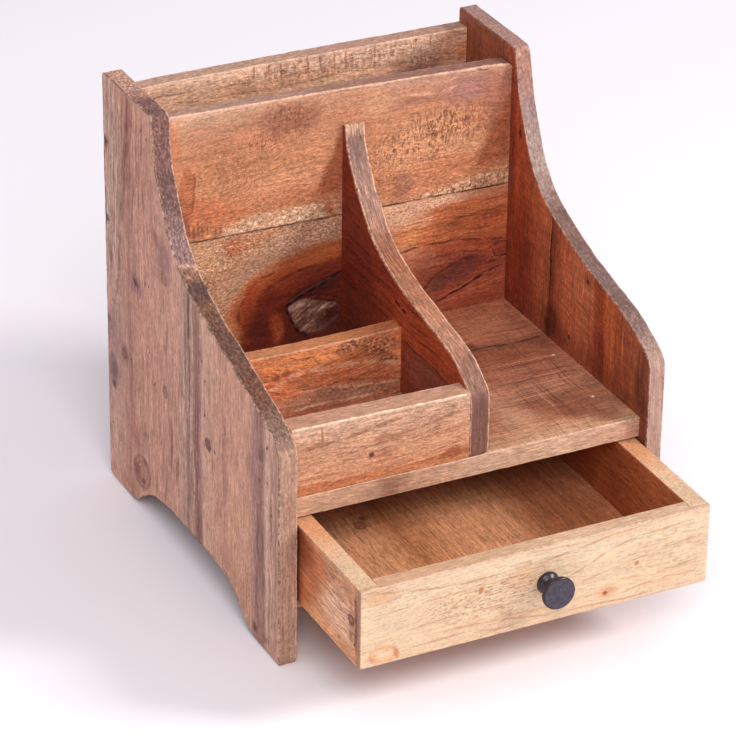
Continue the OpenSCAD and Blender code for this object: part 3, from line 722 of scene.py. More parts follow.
def paint_left(s, c, v, q):
    ground = s.stretch(q["base"], 5, 26, 26, (2, 0, 7))
    c = s.mix(s.range(s.noise(ground, 1.0, 4, 0.65), 0.5, 0.66, 0.0, 0.42), c, s.col((168, 124, 112)))
    c = s.mix(s.range(s.noise(ground, 1.0, 4, 0.65), 0.5, 0.36, 0.0, 0.30), c, s.col((212, 166, 142)))
    # the greyer, streaked strip along the rear edge
    weather = s.range(s.noise(s.stretch(q["lay"], 60, 1.7, 1.7, (8, 1, 0)), 1.0, 3, 0.6), 0.46, 0.60)
    pale = s.range(s.noise(s.stretch(q["lay"], 50, 1.5, 1.5, (3, 6, 0)), 1.0, 3, 0.6), 0.50, 0.62)
    c = s.spot(c, v, 238, 204, 20, 80, patch((122, 90, 78), 0.95, 0.5), strength=weather)
    c = s.spot(c, v, 237, 204, 17, 78, patch((228, 202, 186), 0.95, 0.5), strength=pale)
    c = s.spot(c, v, 122, 104, 15, 90, patch((112, 78, 70), 0.65, 0.4), strength=weather)
    c = s.spot(c, v, 128, 104, 8, 84, patch((216, 184, 166), 0.7, 0.5), strength=pale)
    c = s.spot(c, v, 8, 80, 10, 90, patch((144, 106, 94), 0.5, 0.4), strength=weather)
    c = s.spot(c, v, 10, 80, 10, 80, patch((216, 182, 164), 0.55, 0.5), strength=pale)
    c = s.spot(c, v, 27, 78, 8, 74, patch((112, 78, 72), 0.15, 0.5), strength=weather)
    c = s.spot(c, v, 196, 206, 34, 76, patch((160, 112, 96), 0.5, 0.4), strength=weather)
    c = s.spot(c, v, 172, 88, 50, 60, patch((158, 110, 92), 0.45, 0.4), strength=weather)
    # mauve and brown clouds
    c = s.spot(c, v, 160, 190, 15, 19, patch((160, 114, 110), 0.75), rot=30)
    c = s.spot(c, v, 236, 108, 13, 30, patch((166, 126, 122), 0.75))
    c = s.spot(c, v, 204, 50, 18, 13, patch((168, 116, 106), 0.72))
    c = s.spot(c, v, 34, 122, 8, 36, patch((166, 124, 118), 0.75, 0.8))
    c = s.spot(c, v, 24, 70, 6, 22, patch((126, 90, 80), 0.5))
    c = s.spot(c, v, 56, 60, 22, 46, patch((206, 164, 128), 0.32, 0.7))
    c = s.spot(c, v, 232, 200, 16, 60, patch((176, 144, 122), 0.5, 0.7))
    c = s.spot(c, v, 111, 34, 6, 14, patch((128, 84, 78), 0.6))
    c = s.spot(c, v, 66, 34, 8, 10, patch((186, 128, 104), 0.5))
    c = s.spot(c, v, 184, 232, 14, 26, patch((180, 132, 114), 0.5))
    for pts, w_, cc, al in (
            ([(208, 276), (211, 250), (214, 232), (218, 210)], 5.4, (158, 106, 88), 0.8), ([(210, 276), (213, 246), (216, 226), (219, 204)], 2.0, (132, 84, 68), 0.9),
            ([(203, 276), (206, 244), (210, 214)], 1.3, (138, 92, 78), 0.8), ([(215, 252), (220, 214), (225, 186)], 1.4, (136, 90, 76), 0.75),
            ([(40, 2.4), (52, 12.4), (66, 21.4), (80, 24.6), (150, 24.6), (175, 20.6), (195, 8.6), (206, 2.4)], 1.0, (96, 62, 50), 0.6),
            ([(217, 210), (223, 184), (229, 150), (234, 130)], 2.6, (156, 106, 90), 0.75),
            ([(217, 276), (219.5, 240), (222.5, 206), (227, 182)], 1.1, (152, 112, 96), 0.7),
            ([(223, 262), (226, 226), (230, 196)], 1.1, (146, 112, 98), 0.65),
            ([(232, 236), (234, 204)], 1.0, (138, 106, 92), 0.7), ([(236.5, 232), (237.5, 200)], 1.2, (140, 108, 96), 0.7),
            ([(226, 168), (232, 138)], 2.0, (154, 108, 94), 0.6), ([(241, 262), (242, 236)], 0.9, (130, 104, 96), 0.6),
            ([(189, 276), (191, 232), (187, 206)], 1.3, (150, 102, 86), 0.75), ([(197, 276), (199, 214)], 1.4, (148, 100, 84), 0.75), ([(193, 270), (195, 196)], 1.0, (160, 112, 94), 0.7),
            ([(203, 232), (207, 176)], 1.5, (154, 106, 88), 0.7), ([(184, 270), (184, 240)], 0.9, (170, 122, 104), 0.55),
            ([(209, 134), (213, 110)], 2.0, (152, 104, 90), 0.65), ([(180, 120), (188, 96)], 5.0, (176, 128, 112), 0.4),
            ([(155, 152), (157, 136), (158, 128)], 2.4, (148, 102, 86), 0.65), ([(177, 148), (178, 132)], 1.8, (160, 112, 94), 0.55),
            ([(141.5, 70), (143, 46)], 2.4, (142, 92, 74), 0.8), ([(150, 92), (151.5, 50)], 2.0, (138, 88, 72), 0.8),
            ([(147, 116), (149.5, 88)], 1.3, (148, 102, 86), 0.6), ([(156, 48), (163, 24)], 2.2, (152, 98, 78), 0.65),
            ([(172, 44), (174, 23)], 1.4, (150, 100, 82), 0.6), ([(136, 150), (138, 112)], 1.3, (164, 122, 106), 0.5),
            ([(10.5, 122), (10, 58)], 1.5, (146, 106, 94), 0.7), ([(5, 128), (4.5, 18)], 1.3, (150, 112, 98), 0.6),
            ([(13, 60), (12.6, 14)], 1.2, (152, 112, 98), 0.55), ([(16, 122), (16.6, 20)], 1.2, (212, 176, 158), 0.7),
            ([(22, 92), (21.6, 30)], 1.3, (116, 80, 74), 0.65), ([(27, 96), (28.5, 56)], 1.8, (118, 80, 74), 0.65), ([(31, 60), (31, 14)], 1.3, (134, 92, 84), 0.6),
            ([(72, 132), (72.5, 104), (73, 66)], 3.4, (166, 118, 100), 0.65), ([(96, 158), (94, 118)], 2.2, (178, 134, 116), 0.55),
            ([(91, 100), (92, 72)], 1.8, (168, 122, 106), 0.6), ([(47, 84), (47.5, 66)], 1.6, (176, 130, 108), 0.6),
            ([(54, 130), (54, 116)], 1.2, (180, 134, 114), 0.5), ([(60, 108), (62, 88)], 1.6, (184, 138, 120), 0.5),
            ([(124.2, 188), (124.2, 152)], 1.7, (98, 68, 58), 0.9), ([(124.2, 156), (123.4, 112)], 1.4, (122, 88, 76), 0.75),
            ([(117.2, 186), (116.6, 120)], 1.3, (130, 94, 84), 0.65), ([(121.4, 120), (121.8, 72)], 1.0, (220, 186, 170), 0.85),
            ([(119, 186), (119, 60)], 0.9, (206, 170, 154), 0.5), ([(127.4, 104), (126, 36)], 2.6, (134, 104, 90), 0.65),
            ([(131.5, 186), (132.5, 60)], 1.3, (206, 170, 154), 0.5), ([(129, 180), (129.4, 130)], 1.2, (140, 108, 94), 0.6)):
        c = s.line(c, v, pts, w_, cc, al)
    c = s.spot(c, v, 159.5, 178, 6.2, 5.6, [(0, (146, 100, 90), 0.9), (0.3, (176, 130, 118), 0.8), (0.65, (132, 88, 80), 0.85), (1, (168, 122, 110), 0)], at=OUT)
    c = s.spot(c, v, 170.5, 200, 9, 5, patch((136, 92, 84), 0.75), rot=52, at=OUT)
    c = s.spot(c, v, 203, 155.5, 13, 9, [(0, (96, 56, 54), 0.0), (0.5, (144, 102, 106), 0.75), (0.75, (160, 118, 120), 0.6), (1, (172, 128, 122), 0)], rot=10, at=OUT)
    c = s.spot(c, v, 202, 155.5, 6.4, 2.8, patch((92, 54, 52), 0.95, 0.5), rot=16, at=OUT)
    for a, b, r1, r2, cc, al in ((87.6, 98, 1.9, 1.8, (100, 62, 56), 0.9), (92, 105, 5, 5, (176, 132, 122), 0.55), (175, 99, 2.3, 2.2, (114, 74, 64), 0.8), (174, 96, 2, 3, (150, 104, 92), 0.6),
                                 (221, 98, 7.5, 9, (144, 98, 86), 0.75), (219.6, 98.5, 2.8, 2.6, (104, 62, 54), 0.85),
                                 (245, 232, 4.6, 6.4, (88, 62, 60), 0.9), (245.5, 180, 4.4, 5, (78, 54, 52), 0.92), (246.5, 112, 3.6, 5, (92, 66, 64), 0.85),
                                 (246, 101, 3, 8, (128, 98, 96), 0.6), (247, 34, 3, 6, (128, 104, 96), 0.75), (239, 160, 3.4, 8, (136, 102, 92), 0.8), (235, 128, 4, 3, (150, 106, 100), 0.6),
                                 (238, 79, 11, 13, (134, 102, 98), 0.9), (237, 80, 6, 9, (110, 80, 76), 0.7), (241, 88, 4, 4, (100, 70, 66), 0.5), (238, 69.5, 4.6, 4.6, (92, 50, 46), 0.9),
                                 (28, 98, 5, 3.2, (110, 76, 70), 0.6), (23, 131, 4.6, 6.5, (112, 84, 78), 0.7), (24, 127, 4, 2.4, (104, 74, 68), 0.6), (26, 112, 3.4, 2.4, (122, 82, 78), 0.6),
                                 (32, 10, 4.6, 4.4, (98, 58, 50), 0.9), (20, 9, 9, 2.6, (158, 104, 78), 0.75), (10, 30, 6, 5, (160, 112, 98), 0.4),
                                 (15.5, 138, 1.9, 1.7, (110, 76, 70), 0.9), (9.8, 96.5, 1.9, 1.7, (100, 66, 58), 0.9), (9.5, 84, 1.3, 1.6, (120, 84, 76), 0.7), (105.5, 149, 1.2, 1.5, (106, 66, 60), 0.9),
                                 (187, 162, 1.7, 2.2, (120, 80, 72), 0.8), (191, 261, 1.9, 1.5, (92, 60, 54), 0.9), (241, 262, 1.4, 1.2, (110, 84, 78), 0.7),
                                 (190, 57, 6, 2.6, (160, 114, 98), 0.7), (153, 211, 2.6, 1.8, (104, 74, 62), 0.8), (119, 55, 2, 1.8, (100, 68, 58), 0.85), (122, 59, 4, 5, (140, 104, 92), 0.6),
                                 (156, 27, 4, 3.6, (194, 118, 108), 0.6), (63, 29, 5, 4, (186, 126, 98), 0.5), (220, 10, 14, 5, (178, 112, 92), 0.55), (242, 8, 8, 5, (196, 122, 96), 0.55)):
        c = s.spot(c, v, a, b, r1, r2, patch(cc, al, 0.65), at=OUT)
    c = s.spot(c, v, 97.4, 98, 4.6, 4.6, [(0, (146, 104, 96), 0.9), (0.4, (120, 80, 72), 0.9), (0.72, (92, 56, 50), 0.95), (0.9, (140, 98, 86), 0.6), (1, (170, 120, 104), 0)], at=OUT)
    c = s.spot(c, v, 159.5, 102.5, 4.4, 4.2, [(0, (150, 110, 98), 0.9), (0.6, (142, 102, 90), 0.9), (0.85, (122, 84, 74), 0.8), (1, (170, 124, 108), 0)], at=OUT)
    # a large knot low at the rear
    c = s.spot(c, v, 197, 28, 15, 12.5, [(0, (176, 124, 106), 0.85), (0.3, (160, 110, 94), 0.85), (0.42, (178, 128, 110), 0.8), (0.56, (142, 92, 80), 0.85), (0.68, (172, 120, 104), 0.8),
                                        (0.84, (134, 88, 76), 0.75), (0.94, (150, 102, 90), 0.5), (1, (170, 120, 104), 0)], rot=-25, at=OUT)
    c = s.spot(c, v, 205, 27, 5, 9, patch((118, 72, 64), 0.75), rot=-20, at=OUT)
    c = s.spot(c, v, 191, 37, 7, 3, patch((118, 74, 66), 0.75), rot=14, at=OUT)
    c = s.spot(c, v, 195, 22, 3.6, 3, patch((104, 62, 54), 0.85), at=OUT)
    return c


left_wood = wood(
    "left_panel_wood", "yz", "v",
    [(0, (190, 148, 126)), (6, (186, 146, 128)), (8, (198, 160, 142)), (12, (190, 150, 134)), (16, (208, 170, 152)), (19, (176, 138, 122)), (22, (156, 116, 104)),
     (28, (154, 112, 104)), (33, (168, 126, 116)), (38, (192, 148, 128)), (44, (202, 152, 128)), (62, (204, 156, 132)), (74, (194, 146, 124)), (88, (200, 156, 134)),
     (104, (208, 166, 144)), (108, (172, 130, 116)), (111, (142, 100, 94)), (115.5, (148, 106, 98)), (118.5, (198, 160, 144)), (122, (182, 144, 128)),
     (126, (158, 124, 110)), (132, (186, 150, 134)), (142, (202, 156, 136)), (155, (196, 150, 130)), (175, (202, 154, 134)), (200, (202, 154, 132)), (207, (186, 138, 120)),
     (212, (166, 118, 102)), (218, (190, 144, 126)), (228, (186, 146, 128)), (238, (202, 162, 146)), (248, (186, 148, 132))],
    (0, 248), gain=(0.965, 0.925, 0.88), paint=paint_left, streak=0.32, streak_size=(80, 4), fine=0.24, pores=0.22, pore_size=(7, 1.1), speck=0.44, speck_size=(3.4, 1.3), mottle=0.16,
    alt=(176, 130, 116), alt_amount=0.3, bulge=[(203, 156, 16, 34, 0.35), (198, 30, 26, 34, 0.5), (160, 178, 12, 26, 0.3)],
    edge=[(0, (184, 146, 124)), (3, (152, 118, 102)), (10, (136, 107, 92)), (22, (128, 96, 84)), (34, (118, 80, 62)), (44, (112, 74, 58)), (64, (108, 76, 62)), (92, (108, 76, 64)),
          (104, (116, 82, 66)), (112, (124, 88, 70)), (117, (98, 70, 62)), (126, (98, 72, 64)), (130, (138, 100, 82)), (136, (146, 106, 88)), (137.6, (206, 166, 144)),
          (139.6, (144, 112, 106)), (152, (140, 110, 106)), (158, (122, 92, 86)), (165, (110, 78, 72)), (171, (124, 88, 80)), (175, (132, 94, 88)), (182, (118, 82, 80)), (190, (146, 106, 98)), (196, (122, 84, 78)), (204, (168, 124, 108)), (222, (200, 156, 138)), (248, (196, 152, 132))],
    edge_by="u", edge_jitter=9.0, edge_spots=1.3, edge_grain=(2.4, 2.4, 1.2), seed=1.3, middle=6.0, upright=(2.5, 9.0), worn=(226, 188, 164), rub=(0.6, 0.8), dark=(74, 46, 38), dirt=(0.62, 0.1), edge_gain=(0.80, 0.76, 0.735),
    rough=(0.55, 0.75))


def paint_right(s, c, v, q):
    arcs = s.range(s.noise(s.stretch(s.place(q["base"], (60, 120, 0), 24, (1, 1, 1)), 16, 0.9, 3), 1.0, 2, 0.6), 0.54, 0.64)
    c = s.spot(c, v, 76, 146, 40, 28, patch((226, 150, 112), 0.42, 0.5), strength=arcs)
    c = s.spot(c, v, 146, 180, 26, 50, patch((120, 56, 36), 0.5, 0.5), strength=arcs)
    # painted shade: the inner face darkens low down, towards the shelf
    c = s.mix(s.range(q["v"], 132, 108, 0.0, 0.5), c, s.col((108, 48, 32)))
    c = s.spot(c, v, 58, 122, 7, 26, patch((116, 52, 36), 0.7))
    c = s.spot(c, v, 118, 118, 12, 13, patch((84, 36, 26), 0.8))
    c = s.spot(c, v, 12, 124, 9, 14, patch((96, 50, 38), 0.6))
    # painted shade: a darker patch towards the rear of the inner face
    c = s.spot(c, v, 154, 140, 20, 44, patch((118, 46, 30), 0.55))
    c = s.spot(c, v, 90, 156, 26, 16, patch((196, 120, 84), 0.4))
    c = s.spot(c, v, 130, 184, 9, 9, patch((190, 106, 66), 0.5))
    c = s.spot(c, v, 122, 110, 5, 9, patch((70, 28, 20), 0.6))
    for a, b, r1, r2 in ((77, 163, 2, 2.6), (96, 117, 2.2, 1.8), (121, 157, 1.9, 2), (121.5, 149, 1.5, 1.7), (103, 181, 1.4, 1.2)):
        c = s.spot(c, v, a, b, r1, r2, patch((52, 22, 16), 0.9, 0.7))
    c = s.spot(c, v, 165, 224, 1.5, 4.5, patch((40, 18, 14), 0.95))
    for pts, w_, cc, al in (([(13, 156), (13.4, 112)], 1.6, (96, 46, 34), 0.55), ([(18, 160), (18.6, 112)], 1.0, (196, 122, 86), 0.55), ([(31.6, 164), (32.4, 124)], 1.0, (200, 124, 86), 0.55),
                            ([(44, 160), (45, 122)], 2.4, (188, 106, 60), 0.5), ([(8, 146), (9, 120)], 1.4, (100, 50, 38), 0.5), ([(30, 154), (30.4, 116)], 1.1, (122, 58, 38), 0.5),
                            ([(40, 158), (41, 120)], 1.0, (130, 62, 40), 0.45), ([(123, 188), (123.2, 148)], 1.0, (206, 130, 96), 0.7), ([(121.6, 188), (121.9, 122)], 1.1, (58, 24, 18), 0.85),
                            ([(62, 150), (74, 156), (92, 160)], 1.0, (206, 128, 92), 0.5), ([(70, 140), (90, 146), (112, 150)], 1.0, (120, 58, 38), 0.5),
                            ([(138, 186), (150, 184), (168, 186)], 0.9, (126, 58, 38), 0.5), ([(136, 166), (156, 164), (172, 168)], 0.9, (122, 52, 34), 0.5),
                            ([(84, 130), (104, 134), (116, 138)], 0.9, (122, 60, 42), 0.5), ([(146, 214), (158, 206), (172, 200)], 1.0, (140, 66, 42), 0.5)):
        c = s.line(c, v, pts, w_, cc, al)
    return c


right_wood = wood(
    "right_panel_wood", "yz", "v",
    [(0, (132, 78, 58)), (6, (142, 80, 56)), (14, (162, 90, 60)), (22, (166, 92, 60)), (36, (162, 88, 56)), (46, (180, 96, 54)), (53, (184, 96, 56)), (57, (152, 70, 40)),
     (64, (150, 70, 42)), (70, (174, 96, 62)), (78, (184, 106, 72)), (95, (192, 112, 76)), (106, (180, 100, 66)), (116, (152, 80, 52)), (121, (126, 64, 44)),
     (124, (168, 92, 60)), (132, (184, 104, 70)), (142, (180, 98, 64)), (150, (168, 86, 54)), (160, (162, 76, 44)), (168, (170, 80, 46)), (174, (142, 62, 38)),
     (182, (152, 80, 50)), (248, (152, 82, 54))],
    (0, 248), gain=(0.97, 0.96, 0.93), paint=paint_right, streak=0.36, streak_size=(60, 5), fine=0.3, pores=0.24, pore_size=(6, 1.1), speck=0.52, speck_size=(2.6, 1.4), mottle=0.26, saw=0.26,
    edge=[(0, (166, 132, 116)), (8, (146, 118, 106)), (19, (130, 104, 94)), (38, (116, 88, 78)), (60, (118, 92, 86)), (84, (118, 90, 82)), (96, (112, 84, 76)), (108, (120, 90, 80)), (122, (114, 86, 76)),
          (133, (128, 100, 90)), (142, (142, 116, 106)), (150, (150, 126, 114)), (160, (142, 116, 108)), (168, (136, 108, 100)), (173, (156, 112, 92)), (180, (160, 122, 108)), (248, (154, 118, 108))],
    edge_by="u", edge_jitter=12.0, edge_spots=0.75, edge_grain=(3.0, 3.0, 1.3), seed=4.1, middle=245.0, upright=(2.5, 9.0), worn=(206, 164, 146), rub=(0.5, 0.35), dark=(70, 34, 26), dirt=(0.55, 0.1))


def seam_line(s, c, q):
    """The dark glue line between the middle panel's boards."""
    return s.rule(c, q["u"], q["v"], (12, 188.1), (239.5, 185.05), 0.95, (66, 36, 24), 0.95, q["n4"])


def paint_mid_up(s, c, v, q):
    q["coarse"] = s.range(q["v"], 246, 196, 0.8, 1.25)
    rip = s.range(s.noise(s.stretch(q["base"], 1.5, 4.6, 5), 1.0, 2, 0.6), 0.50, 0.57)
    tick = s.range(s.noise(s.stretch(s.place(q["base"], (60, 220, 0), -14, (1, 1, 1)), 1.1, 3.0, 3, (5, 0, 2)), 1.0, 2, 0.6), 0.52, 0.60)
    flow = s.range(s.noise(s.stretch(q["lay"], 14, 1.2, 3, (1, 5, 2)), 1.0, 3, 0.6), 0.52, 0.62)
    cream = s.range(s.noise(s.stretch(q["base"], 3.2, 1.8, 3, (9, 5, 2)), 1.0, 3, 0.65), 0.48, 0.60)
    # left bay
    c = s.spot(c, v, 44, 265, 30, 5, patch((170, 132, 104), 0.75))
    c = s.spot(c, v, 15, 250, 6, 22, patch((186, 118, 86), 0.7))
    c = s.spot(c, v, 34, 206, 24, 13, patch((186, 108, 72), 0.8), rot=-8)
    c = s.spot(c, v, 52, 202, 16, 6, patch((184, 110, 74), 0.6))
    c = s.spot(c, v, 78, 218, 26, 10, patch((198, 140, 104), 0.6))
    c = s.spot(c, v, 100, 204, 22, 8, patch((176, 108, 76), 0.6))
    c = s.spot(c, v, 98, 226, 40, 18, patch((150, 92, 62), 0.45, 0.5), strength=flow)
    c = s.spot(c, v, 62, 208, 50, 14, patch((152, 88, 58), 0.45, 0.5), strength=flow)
    c = s.spot(c, v, 60, 232, 34, 26, patch((140, 84, 58), 0.6, 0.5), strength=tick)
    c = s.spot(c, v, 84, 247, 32, 9, patch((136, 80, 56), 0.7, 0.5), strength=tick)
    c = s.spot(c, v, 90, 257, 25, 13, patch((142, 92, 70), 0.8, 0.6))
    c = s.spot(c, v, 88, 256, 26, 14, patch((118, 66, 48), 0.85, 0.7), strength=rip)
    c = s.spot(c, v, 86, 250, 34, 12, patch((140, 82, 58), 0.6, 0.6), strength=tick)
    c = s.spot(c, v, 40, 218, 7, 22, [(0, (180, 120, 90), 0), (0.66, (180, 120, 90), 0), (0.84, (158, 100, 72), 0.6), (1, (170, 110, 80), 0)], rot=-12)
    c = s.spot(c, v, 23.6, 219, 5.6, 20.5, [(0, (164, 98, 62), 0.85), (0.74, (164, 96, 62), 0.85), (0.88, (144, 84, 56), 0.75), (1, (170, 104, 72), 0)], rot=-5)
    c = s.line(c, v, [(29, 234), (28.6, 222), (26, 208)], 1.4, (128, 70, 46), 0.7)
    c = s.spot(c, v, 20, 198, 7, 12, patch((150, 88, 62), 0.7))
    for pts in ([(24, 203), (24.6, 191)], [(27.4, 200), (27.4, 190)], [(30.4, 202), (30.8, 192)], [(33, 199.5), (34, 190)], [(36.5, 197), (37, 190)], [(42.6, 196.5), (42, 189)], [(45.4, 195), (45.4, 190)]):
        c = s.line(c, v, pts, 1.0, (116, 62, 42), 0.62)
    c = s.spot(c, v, 29, 192.5, 8, 4.6, patch((124, 74, 54), 0.6))
    sap = s.area(v, [(43, 187.2), (47, 193), (56, 197.2), (80, 198.8), (106, 197.8), (114, 195.5), (117, 191), (116, 186)], 1.6)
    c = s.lay(c, sap, (196, 150, 120), 0.92)
    c = s.lay(c, sap, (236, 198, 168), 0.9, cream)
    c = s.lay(c, sap, (140, 96, 70), 0.55, tick)
    c = s.spot(c, v, 116.5, 191, 3.6, 3.2, patch((150, 74, 46), 0.8))
    c = s.spot(c, v, 122, 193, 4, 6, patch((186, 130, 104), 0.7))
    # painted shadow: a dark red-brown wedge laid where the divider's shadow falls on the left bay
    c = s.lay(c, s.area(v, [(128, 252), (119, 240), (110, 216), (104, 204), (112, 199.6), (128, 199.6)], 4.0), (154, 80, 50), 0.78)
    # right bay
    c = s.spot(c, v, 150, 256, 15, 13, patch((182, 134, 102), 0.7))
    c = s.spot(c, v, 216, 253, 34, 13, patch((152, 104, 92), 0.9, 0.55))
    c = s.spot(c, v, 230, 240, 16, 30, patch((158, 98, 78), 0.7, 0.6))
    c = s.spot(c, v, 182, 264, 40, 5, patch((172, 126, 106), 0.7))
    c = s.spot(c, v, 176, 251, 24, 3.6, patch((146, 98, 80), 0.7), rot=-2)
    c = s.line(c, v, [(146, 259), (164, 256.6), (190, 254.6), (204, 256)], 1.4, (196, 146, 120), 0.5)
    c = s.spot(c, v, 186, 224, 44, 24, patch((198, 143, 109), 0.7))
    c = s.spot(c, v, 200, 206, 30, 9, patch((182, 112, 76), 0.6))
    c = s.spot(c, v, 152, 216, 15, 34, patch((134, 84, 60), 0.75, 0.6), strength=tick)
    c = s.spot(c, v, 196, 234, 38, 17, patch((116, 64, 42), 0.85, 0.7), strength=rip)
    c = s.spot(c, v, 180, 224, 38, 20, patch((118, 68, 46), 0.8, 0.6), strength=tick)
    c = s.spot(c, v, 214, 232, 20, 16, patch((128, 72, 48), 0.65, 0.45), strength=tick)
    c = s.spot(c, v, 190, 208, 44, 12, patch((150, 88, 60), 0.5, 0.5), strength=flow)
    c = s.spot(c, v, 166, 198, 8, 13, patch((144, 92, 76), 0.8))
    c = s.spot(c, v, 168, 201, 5, 8, patch((190, 140, 112), 0.6), strength=cream)
    low = s.area(v, [(164, 184.5), (178, 190.4), (206, 193.6), (226, 196), (241, 198), (241, 184)], 2.0)
    c = s.lay(c, low, (186, 138, 108), 0.92)
    c = s.lay(c, low, (218, 178, 146), 0.8, cream)
    c = s.lay(c, low, (118, 76, 54), 0.75, tick)
    # painted shadow: a dark red-brown wedge laid where the right panel's shadow falls on the right bay
    c = s.lay(c, s.area(v, [(244, 264), (231, 258), (225, 238), (217, 214), (210, 202), (214, 197), (244, 199)], 6.5), (150, 78, 48), 0.78)
    c = s.spot(c, v, 208, 187, 12, 4, patch((120, 66, 44), 0.6), strength=tick)
    c = s.line(c, v, [(214, 266), (219, 263.2), (224, 264.4)], 1.3, (92, 54, 50), 0.85)
    return seam_line(s, c, q)


mid_up_wood = wood(
    "middle_panel_upper_wood", "xz", "u",
    [(184, (186, 132, 100)), (190, (182, 122, 88)), (200, (182, 120, 86)), (214, (186, 128, 94)), (230, (180, 122, 88)), (246, (174, 118, 88)), (258, (168, 118, 92)),
     (266, (176, 130, 104)), (270, (196, 152, 128)), (273, (206, 166, 144))],
    (184, 273), gain=(1.03, 1.02, 0.97), paint=paint_mid_up, streak=0.26, streak_size=(50, 5), fine=0.24, pores=0.2, pore_size=(5, 1.0), speck=0.7, speck_size=(2.2, 1.3), mottle=0.12,
    alt=(168, 110, 78), alt_amount=0.35, bend=[(12, 3), (60, 0), (125, -3), (180, 0), (240, 4)], seed=2.2,
    edge=[(12, (165, 127, 107)), (90, (161, 121, 101)), (150, (146, 101, 84)), (240, (130, 88, 76))], edge_span=(12, 240), edge_spots=0.6, edge_grain=(5, 1.6, 1.4),
    worn=(216, 176, 152), middle=183.0, rub=(0.9, 0.5), dirt=(0.15, 0.3))


